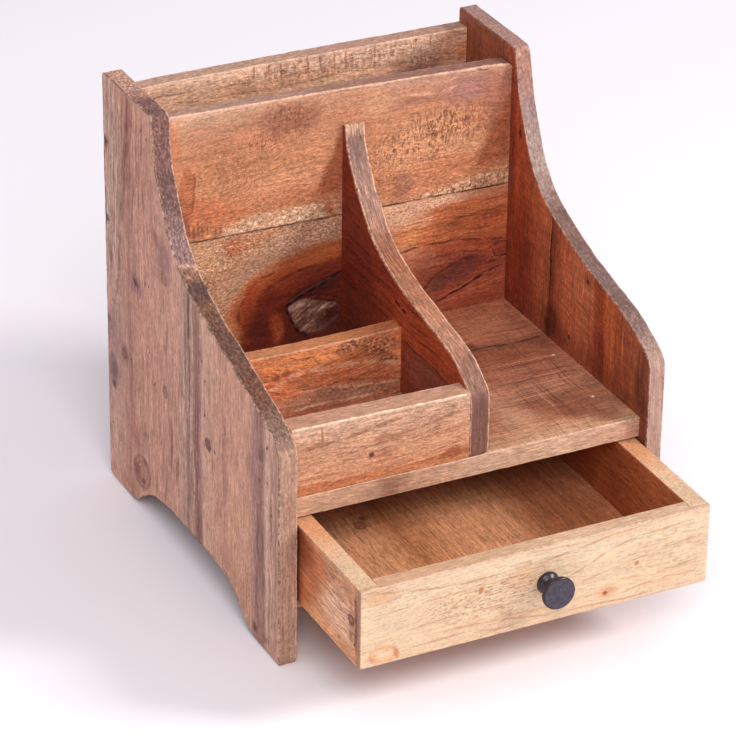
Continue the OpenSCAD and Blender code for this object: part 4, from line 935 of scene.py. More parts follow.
def paint_mid_low(s, c, v, q):
    fine = s.noise(s.stretch(q["base"], 1.7, 1.3, 2), 1.0, 3, 0.7)
    grit, light = s.range(fine, 0.50, 0.62), s.range(fine, 0.48, 0.36)
    slant = s.noise(s.stretch(s.place(q["base"], (100, 120, 0), 36, (1, 1, 1)), 9, 1.5, 2), 1.0, 3, 0.65)
    coarse = s.range(s.vmath("LENGTH", s.place(v, (113, 108, 0), 0, (70, 61, 1e5))), 0.86, 1.06, 0.85, 1.6)
    q["coarse"] = s.math("MULTIPLY", coarse, s.range(q["u"], 128, 150, 1.0, 0.62))
    # left of the divider: a pale speckled field, a grey arc, the red heart and a broken knot
    c = s.spot(c, v, 58, 160, 80, 60, patch((173, 129, 101), 1.0, 0.2))
    c = s.spot(c, v, 34, 174, 17, 16, patch((200, 156, 120), 0.8))
    c = s.lay(c, s.area(v, [(45, 174), (48, 187.5), (64, 188), (92, 187.6), (88, 181), (60, 172.4)], 4.0), (180, 122, 88), 0.85)
    c = s.spot(c, v, 53, 179, 9, 9, patch((168, 100, 66), 0.85))
    c = s.spot(c, v, 113, 104, 84, 82, [(0, (160, 122, 98), 0), (0.80, (160, 122, 98), 0), (0.87, (164, 124, 98), 0.8), (0.95, (170, 130, 104), 0.8), (1, (190, 142, 112), 0)])
    c = s.spot(c, v, 100, 177, 34, 10, patch((180, 136, 112), 0.75))
    c = s.spot(c, v, 114, 181, 14, 6, patch((206, 158, 132), 0.7), strength=light)
    c = s.spot(c, v, 80, 150, 74, 44, [(0, (116, 80, 58), 0.0), (0.42, (104, 70, 52), 0.0), (0.6, (104, 70, 52), 0.65), (0.9, (104, 70, 52), 0.6), (1, (116, 80, 58), 0)], strength=grit)
    c = s.spot(c, v, 80, 150, 74, 44, [(0, (226, 184, 150), 0.0), (0.42, (226, 186, 154), 0.0), (0.6, (226, 186, 154), 0.6), (0.9, (226, 186, 154), 0.55), (1, (226, 184, 150), 0)], strength=light)
    c = s.spot(c, v, 113, 108, 75, 66, [(0, (88, 34, 22), 1), (0.34, (94, 34, 20), 1), (0.5, (108, 38, 22), 1), (0.64, (126, 48, 26), 1), (0.76, (142, 62, 32), 1),
                                       (0.86, (156, 78, 42), 0.98), (0.93, (170, 98, 62), 0.85), (1, (180, 126, 94), 0)])
    swirl = s.range(s.noise(s.stretch(q["lay"], 22, 4.0, 5, (3, 1, 0)), 1.0, 3, 0.6), 0.46, 0.62)
    c = s.spot(c, v, 113, 108, 68, 58, [(0, (78, 26, 16), 0), (0.5, (78, 26, 16), 0), (0.56, (74, 26, 16), 0.8), (0.64, (84, 30, 18), 0.3), (0.72, (84, 30, 16), 0.75), (0.8, (110, 46, 24), 0.2), (0.86, (96, 40, 22), 0.55), (0.95, (110, 56, 32), 0)], strength=swirl)
    c = s.line(c, v, [(61, 108), (57, 124), (57, 136), (62, 147), (70, 154), (82, 158)], 1.4, (96, 40, 24), 0.7)
    c = s.line(c, v, [(68, 134), (72, 144), (80, 150), (94, 154), (110, 156)], 1.6, (88, 32, 18), 0.75)
    c = s.spot(c, v, 52, 122, 8, 15, patch((192, 126, 86), 0.85), rot=22)
    c = s.spot(c, v, 112, 161, 22, 6, patch((186, 100, 58), 0.8), rot=6)
    c = s.spot(c, v, 88, 158, 10, 5, patch((172, 84, 46), 0.7), rot=24)
    c = s.spot(c, v, 68, 148, 8, 14, patch((166, 78, 42), 0.7), rot=-32)
    c = s.spot(c, v, 69, 119, 10, 18, patch((92, 34, 24), 0.9), rot=-6)
    c = s.spot(c, v, 76, 138, 9, 12, patch((118, 40, 22), 0.75))
    c = s.spot(c, v, 82, 118, 6, 13, patch((172, 80, 44), 0.8, 0.8), rot=8)
    c = s.spot(c, v, 64, 142, 6, 14, patch((150, 62, 34), 0.7), rot=-14)
    c = s.spot(c, v, 83, 114, 4, 6, patch((206, 126, 86), 0.7), strength=light)
    c = s.spot(c, v, 112, 150, 18, 6, patch((112, 40, 24), 0.75), rot=12)
    c = s.spot(c, v, 112, 141, 24, 6, patch((74, 26, 20), 0.9), rot=12)
    c = s.spot(c, v, 119, 117, 11, 13, patch((78, 34, 28), 0.9))
    piece = s.math("MAXIMUM", s.area(v, [(89.2, 130.4), (92, 133.6), (103, 134.2), (113, 130.8), (116, 127), (116.6, 120), (113, 109.4), (103, 109.4), (98, 112), (93.4, 118)], 1.2),
                   s.area(v, [(108, 132.8), (123, 128), (123.5, 124.6), (110, 121)], 1.2))
    c = s.lay(c, piece, (122, 82, 68), 0.97)
    c = s.lay(c, piece, (190, 152, 134), 0.75, s.range(slant, 0.52, 0.64))
    c = s.lay(c, piece, (86, 50, 42), 0.7, s.range(slant, 0.46, 0.36))
    c = s.spot(c, v, 96, 131, 8, 3.4, patch((184, 146, 130), 0.7, 0.5), rot=14)
    c = s.spot(c, v, 112, 115, 6, 8, patch((92, 52, 44), 0.75))
    c = s.line(c, v, [(87.5, 131.5), (93, 135.4), (101, 138.2), (110, 142), (118, 145.4), (127, 149.4)], 1.5, (24, 8, 6), 0.95)
    c = s.line(c, v, [(88.6, 131), (90.4, 124.5), (94, 117.4), (98, 111.6), (104, 109)], 1.6, (34, 14, 10), 0.92)
    c = s.line(c, v, [(104, 134.6), (113, 131.4), (123, 128.4)], 1.1, (44, 16, 12), 0.8)
    # right of the divider: pale at the seam, orange below, then dark red with cracks and a swirl
    c = s.spot(c, v, 198, 166, 52, 19, patch((190, 110, 70), 0.9, 0.4))
    c = s.spot(c, v, 160, 178, 32, 12, patch((214, 172, 140), 0.95, 0.7), rot=-14)
    c = s.spot(c, v, 186, 182, 46, 5.6, patch((214, 168, 138), 0.95))
    c = s.spot(c, v, 190, 182, 44, 4.6, patch((128, 82, 60), 0.6, 0.5), strength=grit)
    c = s.spot(c, v, 226, 183.4, 22, 2.8, patch((194, 128, 92), 0.8))
    c = s.spot(c, v, 178, 170, 9, 5, patch((204, 144, 108), 0.85))
    c = s.spot(c, v, 173, 161, 14, 10, patch((216, 142, 90), 0.9, 0.8))
    c = s.spot(c, v, 208, 163, 12, 7, patch((164, 86, 54), 0.6))
    c = s.spot(c, v, 226, 164, 18, 8, patch((182, 88, 54), 0.6))
    grain = s.range(s.noise(s.stretch(q["lay"], 13, 1.2, 3, (1, 5, 2)), 1.0, 3, 0.6), 0.50, 0.60)
    c = s.spot(c, v, 200, 164, 52, 18, patch((122, 62, 38), 0.55, 0.4), strength=grain)
    c = s.spot(c, v, 176, 176, 34, 9, patch((140, 84, 58), 0.6, 0.4), strength=grit)
    c = s.spot(c, v, 216, 128, 58, 26, patch((156, 77, 53), 0.92, 0.35))
    c = s.spot(c, v, 182, 144, 20, 9, patch((176, 104, 76), 0.85), rot=-14)
    c = s.spot(c, v, 214, 146, 26, 5, patch((164, 76, 48), 0.8), rot=-2)
    c = s.spot(c, v, 204, 131, 25, 10, patch((122, 62, 52), 0.85), rot=18)
    c = s.spot(c, v, 192, 125, 11, 6, patch((118, 68, 54), 0.8), rot=18)
    c = s.spot(c, v, 216, 136, 12, 7, patch((116, 52, 44), 0.7), rot=10)
    c = s.spot(c, v, 202, 112, 28, 5, patch((168, 86, 60), 0.85), rot=6)
    c = s.spot(c, v, 226, 112, 18, 6, patch((150, 72, 50), 0.7), rot=6)
    c = s.spot(c, v, 218, 118, 26, 8, patch((196, 116, 82), 0.5), strength=grain)
    c = s.spot(c, v, 206, 134, 36, 12, patch((90, 40, 34), 0.6, 0.4), strength=grain)
    c = s.spot(c, v, 236.6, 140.6, 8, 6.4, [(0, (132, 52, 34), 0.7), (0.66, (136, 56, 36), 0.7), (0.82, (80, 28, 20), 0.85), (0.93, (186, 108, 78), 0.75), (1, (160, 80, 56), 0)])
    c = s.spot(c, v, 214, 144, 26, 4, patch((176, 92, 60), 0.6), rot=-4)
    c = s.line(c, v, [(188, 113), (200, 116), (213, 121), (225, 126.4), (240, 130)], 1.0, (82, 28, 22), 0.85)
    c = s.line(c, v, [(198, 115.6), (207, 118.4), (216, 122), (225, 126)], 1.2, (50, 16, 13), 0.9)
    c = s.line(c, v, [(190, 110.6), (206, 114), (222, 118), (241, 121)], 1.0, (190, 108, 74), 0.6)
    c = s.line(c, v, [(162, 151), (180, 152.8), (205, 152.4), (224, 150), (240, 147)], 1.1, (104, 44, 28), 0.85)
    c = s.line(c, v, [(200, 166), (222, 168), (241, 171)], 0.9, (126, 60, 36), 0.7)
    c = s.line(c, v, [(182, 158), (206, 159), (232, 158)], 0.9, (130, 62, 38), 0.6)
    c = s.line(c, v, [(196, 172), (216, 174), (238, 177)], 0.9, (134, 66, 42), 0.6)
    c = s.line(c, v, [(184, 143), (206, 144), (226, 142), (236, 148)], 1.0, (104, 42, 30), 0.7)
    c = s.line(c, v, [(176, 118), (190, 131), (206, 138), (222, 139)], 1.2, (84, 36, 28), 0.7)
    c = s.line(c, v, [(226, 134), (233, 134.4), (241, 137)], 1.0, (60, 22, 16), 0.7)
    return seam_line(s, c, q)


mid_low_wood = wood(
    "middle_panel_lower_wood", "xz", "u",
    [(105, (150, 72, 48)), (125, (152, 74, 48)), (145, (168, 86, 54)), (160, (184, 100, 62)), (174, (190, 112, 74)), (189, (196, 138, 106))],
    (105, 189), gain=(1.0, 0.98, 0.94), paint=paint_mid_low, streak=0.26, streak_size=(40, 4), fine=0.22, pores=0.14, pore_size=(4.5, 1.0), speck=0.62, speck_size=(1.9, 1.4), mottle=0.12,
    bulge=[(110, 112, 90, 70, 0.55), (214, 138, 34, 22, 0.4)], seed=5.7, wander=(3.0, 26.0), worn=(200, 156, 126), rub=(0.2, 0.2))


def paint_back(s, c, v, q):
    rip = s.range(s.noise(s.stretch(q["base"], 1.6, 5, 5), 1.0, 2, 0.6), 0.48, 0.58)
    pale = s.range(s.noise(s.stretch(q["base"], 6, 1.6, 3, (4, 2, 0)), 1.0, 3, 0.65), 0.48, 0.60)
    c = s.spot(c, v, 206, 246, 30, 12, patch((150, 104, 84), 0.9, 0.6))
    c = s.spot(c, v, 230, 256, 20, 18, patch((190, 130, 100), 0.7))
    c = s.spot(c, v, 100, 250, 40, 6, patch((176, 132, 104), 0.7))
    c = s.spot(c, v, 100, 262, 92, 7, patch((232, 194, 166), 0.7, 0.5), strength=pale)
    c = s.spot(c, v, 190, 258, 50, 8, patch((226, 186, 158), 0.6, 0.5), strength=pale)
    c = s.spot(c, v, 208, 251, 15, 6, patch((212, 178, 150), 0.6, 0.5), strength=rip)
    c = s.spot(c, v, 150, 257, 100, 9, patch((152, 102, 76), 0.6, 0.4), strength=rip)
    c = s.spot(c, v, 237, 250, 8, 7, patch((208, 128, 82), 0.8))
    for x_ in (94, 104, 112, 130, 138, 148, 156, 176, 190, 204, 214):
        c = s.line(c, v, [(x_, 268), (x_ + 0.6, 256 + 3 * math.sin(x_))], 1.0, (146, 92, 66), 0.7)
    c = s.line(c, v, [(20, 258), (60, 257), (100, 255), (140, 256)], 1.0, (160, 112, 84), 0.7)
    c = s.line(c, v, [(60, 251), (110, 249), (160, 251)], 1.2, (150, 104, 78), 0.6)
    rear = (249, 8)
    flow = s.range(s.noise(s.stretch(q["lay"], 34, 2.2, 5, (1, 5, 2)), 1.0, 3, 0.6), 0.50, 0.62)
    c = s.spot(c, v, 60, 96, 90, 44, patch((150, 98, 74), 0.6, 0.4), at=rear, strength=flow)
    c = s.spot(c, v, 180, 196, 90, 40, patch((144, 92, 68), 0.6, 0.4), at=rear, strength=flow)
    c = s.spot(c, v, 186, 74, 66, 30, patch((206, 164, 136), 0.55, 0.5), at=rear)
    c = s.spot(c, v, 52, 214, 46, 24, patch((160, 116, 98), 0.55, 0.5), at=rear)
    c = s.spot(c, v, 120, 236, 130, 10, patch((150, 112, 96), 0.5, 0.5), at=rear)
    knot = [(0, (98, 56, 42), 0.95), (0.28, (122, 74, 54), 0.9), (0.46, (92, 52, 40), 0.85), (0.62, (150, 100, 74), 0.75), (0.8, (118, 72, 54), 0.7), (1, (160, 112, 86), 0)]
    c = s.spot(c, v, 78, 98, 15, 9, knot, rot=-6, at=rear)
    c = s.spot(c, v, 188, 196, 12, 8, knot, rot=8, at=rear)
    c = s.spot(c, v, 150, 52, 6, 4.4, knot, at=rear)
    c = s.spot(c, v, 214, 122, 3.4, 2.8, knot, at=rear)
    c = s.line(c, v, [(20, 104), (50, 101), (78, 108.6), (110, 101), (150, 104), (232, 101)], 1.4, (122, 76, 56), 0.6)
    c = s.line(c, v, [(20, 92), (52, 93), (78, 87), (108, 93), (160, 91), (232, 94)], 1.4, (126, 80, 58), 0.6)
    c = s.line(c, v, [(30, 190), (120, 192), (168, 190), (188, 186.6), (208, 190), (236, 191)], 1.2, (124, 78, 58), 0.6)
    c = s.line(c, v, [(30, 200), (120, 203), (168, 202), (188, 206), (208, 203), (236, 204)], 1.3, (124, 78, 58), 0.6)
    return s.rule(c, q["u"], q["v"], (12, 148), (239.5, 148), 1.0, (66, 38, 28), 0.9, q["n4"])


back_wood = wood(
    "back_panel_wood", "xz", "u",
    [(26, (166, 120, 94)), (44, (184, 138, 110)), (60, (160, 112, 86)), (72, (178, 132, 104)), (98, (190, 144, 114)), (112, (164, 114, 88)), (122, (182, 136, 108)), (147, (176, 128, 102)),
     (150, (190, 144, 116)), (166, (164, 116, 90)), (182, (186, 140, 112)), (204, (170, 122, 94)), (216, (190, 144, 114)), (230, (192, 146, 116)), (246, (196, 150, 120)), (258, (206, 162, 134)), (266, (214, 174, 148))],
    (26, 267), paint=paint_back, streak=0.34, streak_size=(60, 4), fine=0.34, pores=0.3, pore_size=(6, 1.1), speck=0.72, speck_size=(2.4, 1.3), mottle=0.2, alt=(176, 124, 92),
    bend=[(12, 2), (90, 0), (160, 4), (240, 8)], bulge=[(78, 98, 46, 36, 0.5), (188, 196, 40, 24, 0.45)], seed=7.9, worn=(226, 188, 162), middle=242.0, rub=(0.8, 0.5), dirt=(0.2, 0.3),
    edge=[(12, (180, 142, 120)), (240, (168, 126, 106))], edge_span=(12, 240), edge_grain=(5, 1.6, 1.4))


def paint_shelf(s, c, v, q):
    marks = s.range(s.noise(s.stretch(q["base"], 22, 1.1, 3, (2, 6, 1)), 1.0, 2, 0.6), 0.53, 0.62)
    tracks = s.range(s.noise(s.stretch(q["base"], 1.2, 20, 3, (7, 1, 3)), 1.0, 2, 0.6), 0.53, 0.62)
    c = s.mix(s.math("MULTIPLY", marks, 0.5), c, s.col((118, 72, 54)))
    c = s.mix(s.math("MULTIPLY", tracks, 0.4), c, s.col((120, 74, 56)))
    c = s.spot(c, v, 208, 36, 18, 17, patch((152, 94, 70), 0.8))
    c = s.spot(c, v, 224, 20, 12, 10, patch((150, 96, 70), 0.7))
    c = s.spot(c, v, 192, 46, 8, 9, patch((148, 90, 66), 0.7))
    c = s.spot(c, v, 172, 40, 14, 30, patch((176, 132, 106), 0.7))
    c = s.spot(c, v, 214, 66, 24, 9, patch((182, 126, 100), 0.8))
    c = s.spot(c, v, 204, 108, 10, 9, patch((146, 84, 60), 0.8))
    c = s.spot(c, v, 234, 118, 9, 15, patch((128, 76, 58), 0.75))
    c = s.spot(c, v, 210, 146, 18, 16, patch((188, 124, 96), 0.8))
    c = s.spot(c, v, 232, 146, 8, 16, patch((150, 94, 72), 0.7))
    c = s.spot(c, v, 191, 130, 4.6, 5.6, patch((104, 58, 44), 0.75))
    c = s.spot(c, v, 204, 35, 6, 16, patch((140, 80, 58), 0.6))
    c = s.line(c, v, [(184, 123.6), (196, 124.6), (214, 123.6), (237, 124.6)], 1.3, (62, 32, 26), 0.9)
    for a, b in (((203, 32), (203.6, 78)), ((206.5, 30), (206, 74)), ((225, 50), (225.4, 100)), ((222, 56), (222, 84)), ((188, 40), (188, 66)), ((214, 96), (214.6, 132)),
                 ((172, 78), (238, 77)), ((180, 96), (238, 94.6)), ((170, 61), (226, 61.6)), ((168, 52), (206, 52.6)), ((190, 108), (236, 107)), ((196, 84), (238, 83)), ((198, 140), (236, 139))):
        c = s.line(c, v, [a, b], 0.9, (112, 66, 50), 0.6)
    for a, b in (((200, 34), (200, 70)), ((182, 80), (236, 79.4)), ((180, 58), (224, 58.6)), ((186, 99), (236, 98)), ((190, 70), (236, 71))):
        c = s.line(c, v, [a, b], 0.8, (212, 156, 126), 0.5)
    for a, b in ((231, 98), (227, 42)):
        c = s.spot(c, v, a, b, 1.4, 1.4, patch((236, 210, 190), 0.9))
    return c


shelf_wood = wood(
    "shelf_wood", "xy", "u",
    [(8, (190, 148, 120)), (14, (184, 142, 112)), (22, (174, 126, 98)), (30, (162, 112, 86)), (46, (160, 106, 80)), (58, (170, 118, 92)), (66, (180, 126, 100)), (84, (176, 116, 90)),
     (100, (170, 108, 82)), (112, (162, 100, 74)), (120, (156, 98, 74)), (124, (130, 80, 62)), (130, (176, 114, 88)), (150, (184, 122, 94)), (170, (174, 106, 78)), (237, (170, 106, 80))],
    (8, 237), gain=(1.1, 1.1, 1.04), paint=paint_shelf, streak=0.26, streak_size=(60, 5), fine=0.28, pores=0.22, pore_size=(6, 1.1), speck=0.42, speck_size=(2.2, 1.4), mottle=0.18, saw=0.14, seed=9.3,
    edge=[(12, (192, 150, 120)), (50, (186, 144, 116)), (64, (180, 138, 112)), (72, (150, 104, 84)), (80, (154, 110, 88)), (88, (182, 138, 110)), (110, (190, 146, 118)), (135, (198, 160, 134)),
          (160, (196, 156, 128)), (185, (208, 168, 140)), (210, (200, 156, 130)), (240, (192, 146, 120))],
    edge_span=(12, 240), edge_jitter=14.0, edge_spots=0.55, edge_grain=(7, 1.6, 1.2), worn=(226, 188, 162), middle=96.0, rub=(0.4, 0.7), dark=(96, 58, 46), dirt=(0.5, 0.15))


def paint_divider(s, c, v, q):
    c = s.spot(c, v, 60, 152, 36, 14, patch((172, 78, 40), 0.8))
    c = s.spot(c, v, 94, 153, 22, 14, patch((178, 84, 50), 0.7))
    c = s.spot(c, v, 62, 128, 40, 17, patch((132, 78, 64), 0.85, 0.5), at=(125.5, 8))
    # painted shade: the divider darkens towards the rear
    c = s.spot(c, v, 154, 150, 40, 60, patch((106, 42, 28), 0.8, 0.5))
    c = s.spot(c, v, 122, 178, 20, 10, patch((140, 56, 34), 0.6))
    c = s.spot(c, v, 150, 116, 40, 12, patch((82, 36, 28), 0.6))
    c = s.line(c, v, [(20, 139), (60, 140.6), (96, 141)], 1.4, (64, 30, 24), 0.65)
    c = s.line(c, v, [(90, 160.6), (98, 161), (107, 162.6)], 1.4, (52, 12, 10), 0.95)
    for pts in ([(44, 152), (80, 149), (118, 152), (150, 150)], [(70, 164), (104, 168), (140, 166), (176, 168)], [(100, 176), (140, 184), (176, 192)],
                [(60, 158), (90, 156), (130, 160), (170, 158)], [(110, 148), (140, 144), (176, 146)]):
        c = s.line(c, v, pts, 1.4, (90, 36, 22), 0.6)
    return c


divider_wood = wood(
    "divider_wood", "yz", "u",
    [(105, (128, 60, 42)), (125, (140, 66, 44)), (142, (156, 70, 42)), (160, (156, 68, 38)), (180, (140, 56, 34)), (200, (128, 52, 32)), (246, (136, 58, 40))],
    (105, 246), gain=(0.97, 0.9, 0.86), paint=paint_divider, streak=0.4, streak_size=(60, 4), fine=0.3, pores=0.2, speck=0.56, speck_size=(2.6, 1.4), mottle=0.3, seed=11.1,
    edge=[(0, (118, 82, 70)), (9.3, (118, 80, 70)), (10.6, (126, 88, 74)), (17, (134, 98, 80)), (28, (132, 94, 78)), (36, (152, 108, 88)), (46, (166, 120, 98)), (72, (168, 118, 92)), (98, (154, 104, 80)),
          (120, (144, 92, 68)), (136, (140, 92, 74)), (146, (152, 112, 96)), (158, (148, 112, 98)), (166, (132, 98, 88)), (171, (132, 102, 92)), (173.6, (126, 94, 80)), (174.6, (184, 146, 122)), (178, (188, 150, 128))],
    edge_by="u", edge_jitter=3.0, edge_spots=0.95, edge_grain=(9, 9, 0.9), middle=132.0, upright=(9.5, 14.0), worn=(226, 182, 154), rub=(0.75, 0.85), dark=(96, 50, 38), dirt=(0.4, 0.1), edge_gain=(1.0, 0.98, 0.93))


def paint_rail(s, c, v, q):
    grain = s.range(s.noise(s.stretch(q["lay"], 9, 1.0, 3, (1, 5, 2)), 1.0, 3, 0.6), 0.50, 0.60)
    c = s.spot(c, v, 70, 136, 70, 16, patch((150, 102, 76), 0.5, 0.4), strength=grain)
    c = s.spot(c, v, 24, 132, 16, 8, patch((172, 124, 96), 0.7))
    c = s.spot(c, v, 72, 130, 12, 4, patch((154, 102, 74), 0.75), rot=-4)
    c = s.line(c, v, [(14, 135), (44, 136.6), (62, 139), (84, 142.6)], 1.6, (138, 92, 68), 0.8)
    c = s.line(c, v, [(16, 124), (40, 125), (64, 128), (96, 134), (124, 137)], 1.3, (150, 104, 78), 0.6)
    c = s.line(c, v, [(20, 143), (60, 145), (100, 146)], 1.0, (166, 124, 98), 0.55)
    c = s.line(c, v, [(92, 126), (124, 127.4)], 2.4, (168, 110, 78), 0.6)
    c = s.line(c, v, [(14, 116), (50, 115.4), (90, 117)], 1.2, (150, 96, 68), 0.6)
    c = s.spot(c, v, 70, 121, 11, 5, patch((154, 100, 72), 0.7))
    c = s.spot(c, v, 62.7, 121.8, 2.6, 2.4, [(0, (70, 34, 24), 0.95), (0.5, (96, 50, 34), 0.9), (1, (150, 90, 62), 0)])
    c = s.spot(c, v, 114, 111.5, 12, 4.6, patch((142, 76, 48), 0.85))
    c = s.line(c, v, [(31, 148), (31.6, 135)], 0.9, (134, 88, 68), 0.75)
    c = s.line(c, v, [(84, 110.4), (100, 111.6), (112, 113.6)], 1.1, (212, 150, 108), 0.6)
    c = s.spot(c, v, 44, 108.5, 30, 3, patch((170, 98, 62), 0.6))
    return c


rail_wood = wood(
    "rail_wood", "xz", "u",
    [(104, (172, 108, 72)), (108, (180, 114, 76)), (110.6, (172, 104, 70)), (112.2, (184, 126, 92)), (118, (188, 134, 102)), (127, (184, 134, 104)),
     (136, (182, 138, 110)), (143, (188, 148, 122)), (147, (194, 156, 130)), (150, (206, 168, 142))],
    (104, 150), gain=1.05, paint=paint_rail, streak=0.3, streak_size=(34, 2.6), fine=0.3, pores=0.3, pore_size=(5, 1.0), speck=0.62, speck_size=(2.2, 1.2), mottle=0.14,
    bend=[(12, -1.5), (60, 2.2), (95, 0.0), (125, -1.0)], wander=(1.6, 24.0), seed=13.5, worn=(236, 204, 176), middle=16.0, rub=(1.0, 0.5), dirt=(0.1, 0.3),
    edge=[(12, (180, 132, 106)), (60, (182, 138, 112)), (126, (180, 134, 108))], edge_span=(12, 126), edge_spots=0.5, edge_grain=(7, 1.6, 1.4))


def paint_cross(s, c, v, q):
    fine = s.noise(s.stretch(q["base"], 2.2, 1.6, 2), 1.0, 3, 0.7)
    grit, light = s.range(fine, 0.46, 0.58), s.range(fine, 0.5, 0.38)
    sweep = s.range(s.noise(s.stretch(q["lay"], 12, 1.2, 3, (1, 5, 2)), 1.0, 3, 0.6), 0.49, 0.60)
    c = s.spot(c, v, 70, 128, 62, 24, patch((112, 62, 38), 0.6, 0.4), strength=sweep)
    c = s.spot(c, v, 80, 112, 50, 8, patch((156, 110, 90), 0.85))
    c = s.spot(c, v, 60, 140, 34, 7, patch((204, 128, 80), 0.6))
    for a, b, r1, r2, t_ in ((92, 144, 15, 4.4, 4), (112, 139, 14, 8, -12), (118, 128, 10, 5, -20), (82, 117, 22, 5, -8), (110, 113, 14, 5, 0)):
        c = s.spot(c, v, a, b, r1, r2, patch((86, 54, 40), 0.85, 0.5), strength=grit, rot=t_)
        c = s.spot(c, v, a, b, r1, r2, patch((196, 148, 118), 0.5, 0.5), strength=light, rot=t_)
    c = s.spot(c, v, 80, 113, 46, 6, patch((160, 112, 86), 0.6))
    c = s.spot(c, v, 62, 131, 8, 3, patch((136, 72, 46), 0.75), rot=10)
    c = s.line(c, v, [(40, 134), (48, 130), (60, 128.6), (80, 127), (100, 123), (126, 115)], 7.0, (168, 92, 60), 0.7)
    c = s.line(c, v, [(38, 124), (50, 130.6), (62, 133.4), (80, 132.6), (100, 131), (112, 127.6), (126, 124)], 2.6, (196, 138, 106), 0.75)
    c = s.line(c, v, [(40, 132.4), (46, 132.8), (54, 134.6)], 2.2, (112, 58, 38), 0.75)
    c = s.line(c, v, [(58, 119), (74, 119), (92, 116.4), (110, 114), (126, 113)], 1.6, (196, 142, 112), 0.6)
    c = s.line(c, v, [(54, 107.4), (80, 108.2), (110, 108.4)], 1.1, (204, 160, 134), 0.6)
    for pts in ([(40, 147), (46, 145.6), (52, 144)], [(50, 141), (70, 142), (96, 143)], [(70, 134.6), (84, 135.6), (100, 135.4), (106, 134)], [(86, 122.4), (104, 118.6), (126, 113.8)]):
        c = s.line(c, v, pts, 1.1, (126, 68, 42), 0.6)
    return c


cross_wood = wood(
    "cross_divider_wood", "xz", "u",
    [(104, (158, 96, 68)), (114, (168, 100, 70)), (118, (186, 108, 72)), (122, (192, 112, 74)), (130, (188, 112, 74)), (136, (184, 106, 66)),
     (142, (188, 112, 72)), (147, (186, 112, 70)), (149, (196, 128, 90))],
    (104, 149), gain=(1.16, 1.19, 1.19), paint=paint_cross, streak=0.34, streak_size=(30, 2.4), fine=0.3, pores=0.26, pore_size=(5, 1.1), speck=0.66, speck_size=(2.0, 1.4), mottle=0.2,
    bend=[(12, -7), (40, -2), (70, 3), (100, 0), (126, -6)], seed=15.2, worn=(214, 164, 130), middle=102.0, rub=(0.8, 0.6), dark=(90, 44, 30), dirt=(0.15, 0.7),
    edge=[(12, (180, 120, 84)), (70, (180, 118, 80)), (126, (172, 102, 62))], edge_span=(12, 126), edge_spots=0.5, edge_grain=(6, 1.6, 1.4))


def paint_drawer_front(s, c, v, q):
    dash = s.range(s.noise(s.stretch(q["lay"], 4.4, 1.1, 1.2, (0, 4, 0)), 1.0, 2, 0.6), 0.54, 0.62)
    crumb = s.range(s.noise(s.stretch(q["base"], 1.8, 1.2, 1.2, (3, 4, 0)), 1.0, 2, 0.6), 0.55, 0.63)
    flow = s.range(s.noise(s.stretch(q["lay"], 30, 0.9, 2, (5, 1, 0)), 1.0, 2, 0.6), 0.54, 0.62)
    c = s.mix(s.math("MULTIPLY", flow, 0.35), c, s.col((186, 146, 114)))
    c = s.spot(c, v, 26, 84, 16, 7, patch((184, 140, 104), 0.6))
    c = s.spot(c, v, 116, 74, 14, 12, patch((196, 152, 118), 0.6))
    c = s.spot(c, v, 100, 66, 60, 20, patch((150, 106, 78), 0.75, 0.55), strength=dash)
    c = s.spot(c, v, 80, 66, 40, 14, patch((146, 102, 76), 0.6, 0.55), strength=crumb)
    c = s.spot(c, v, 34, 80, 26, 11, patch((172, 128, 92), 0.65, 0.6), strength=crumb)
    c = s.spot(c, v, 205, 66, 34, 22, patch((166, 124, 92), 0.5, 0.6), strength=dash)
    c = s.spot(c, v, 118, 50, 62, 3.4, patch((188, 144, 112), 0.5))
    c = s.spot(c, v, 104, 45, 20, 3.6, patch((186, 148, 122), 0.6))
    c = s.spot(c, v, 28, 46, 11, 6.4, [(0, (214, 178, 148), 0.6), (0.45, (206, 160, 124), 0.7), (0.75, (196, 134, 92), 0.85), (1, (200, 160, 128), 0)])
    c = s.line(c, v, [(35.4, 49), (37, 40.6)], 2.2, (170, 112, 74), 0.8)
    c = s.line(c, v, [(23, 47), (21, 41)], 2.0, (196, 142, 102), 0.7)
    c = s.spot(c, v, 171, 49.5, 9, 5, patch((196, 138, 100), 0.8))
    c = s.spot(c, v, 208, 47, 12, 3.4, patch((198, 152, 116), 0.55))
    for a, b, r1, r2, cc in ((89.3, 71.6, 2.4, 3.0, (172, 104, 66)), (170.3, 49.1, 2.6, 2.2, (136, 76, 50)), (190.6, 63.9, 2.0, 1.8, (168, 104, 72)), (215.3, 79.2, 1.5, 1.4, (176, 124, 90))):
        c = s.spot(c, v, a, b, r1, r2, [(0, cc, 0.95), (0.55, cc, 0.85), (0.8, (196, 146, 108), 0.5), (1, (200, 160, 128), 0)])
    for pts, w_, al in (([(14, 89), (40, 84), (70, 80), (100, 79)], 1.0, 0.8), ([(126, 80), (150, 83), (176, 88)], 1.0, 0.75), ([(146, 66), (158, 71), (172, 77), (190, 82), (226, 84)], 1.0, 0.75),
                        ([(60, 52), (96, 50), (140, 44), (200, 42)], 0.9, 0.75), ([(176, 56), (200, 54), (236, 58)], 0.9, 0.7), ([(16, 72), (50, 74), (90, 74), (120, 76)], 0.8, 0.6),
                        ([(120, 88), (160, 86), (200, 89)], 0.8, 0.6), ([(150, 60), (176, 64), (206, 70), (236, 72)], 0.8, 0.6), ([(40, 58), (80, 60), (112, 58)], 0.8, 0.6),
                        ([(176, 46), (206, 50), (236, 49)], 0.9, 0.65), ([(44, 46), (84, 47), (112, 42)], 0.9, 0.6)):
        c = s.line(c, v, pts, w_, (174, 130, 98), al)
    c = s.mix(s.range(q["u"], 14.5, 13.9), c, s.col((160, 112, 88)))
    return c


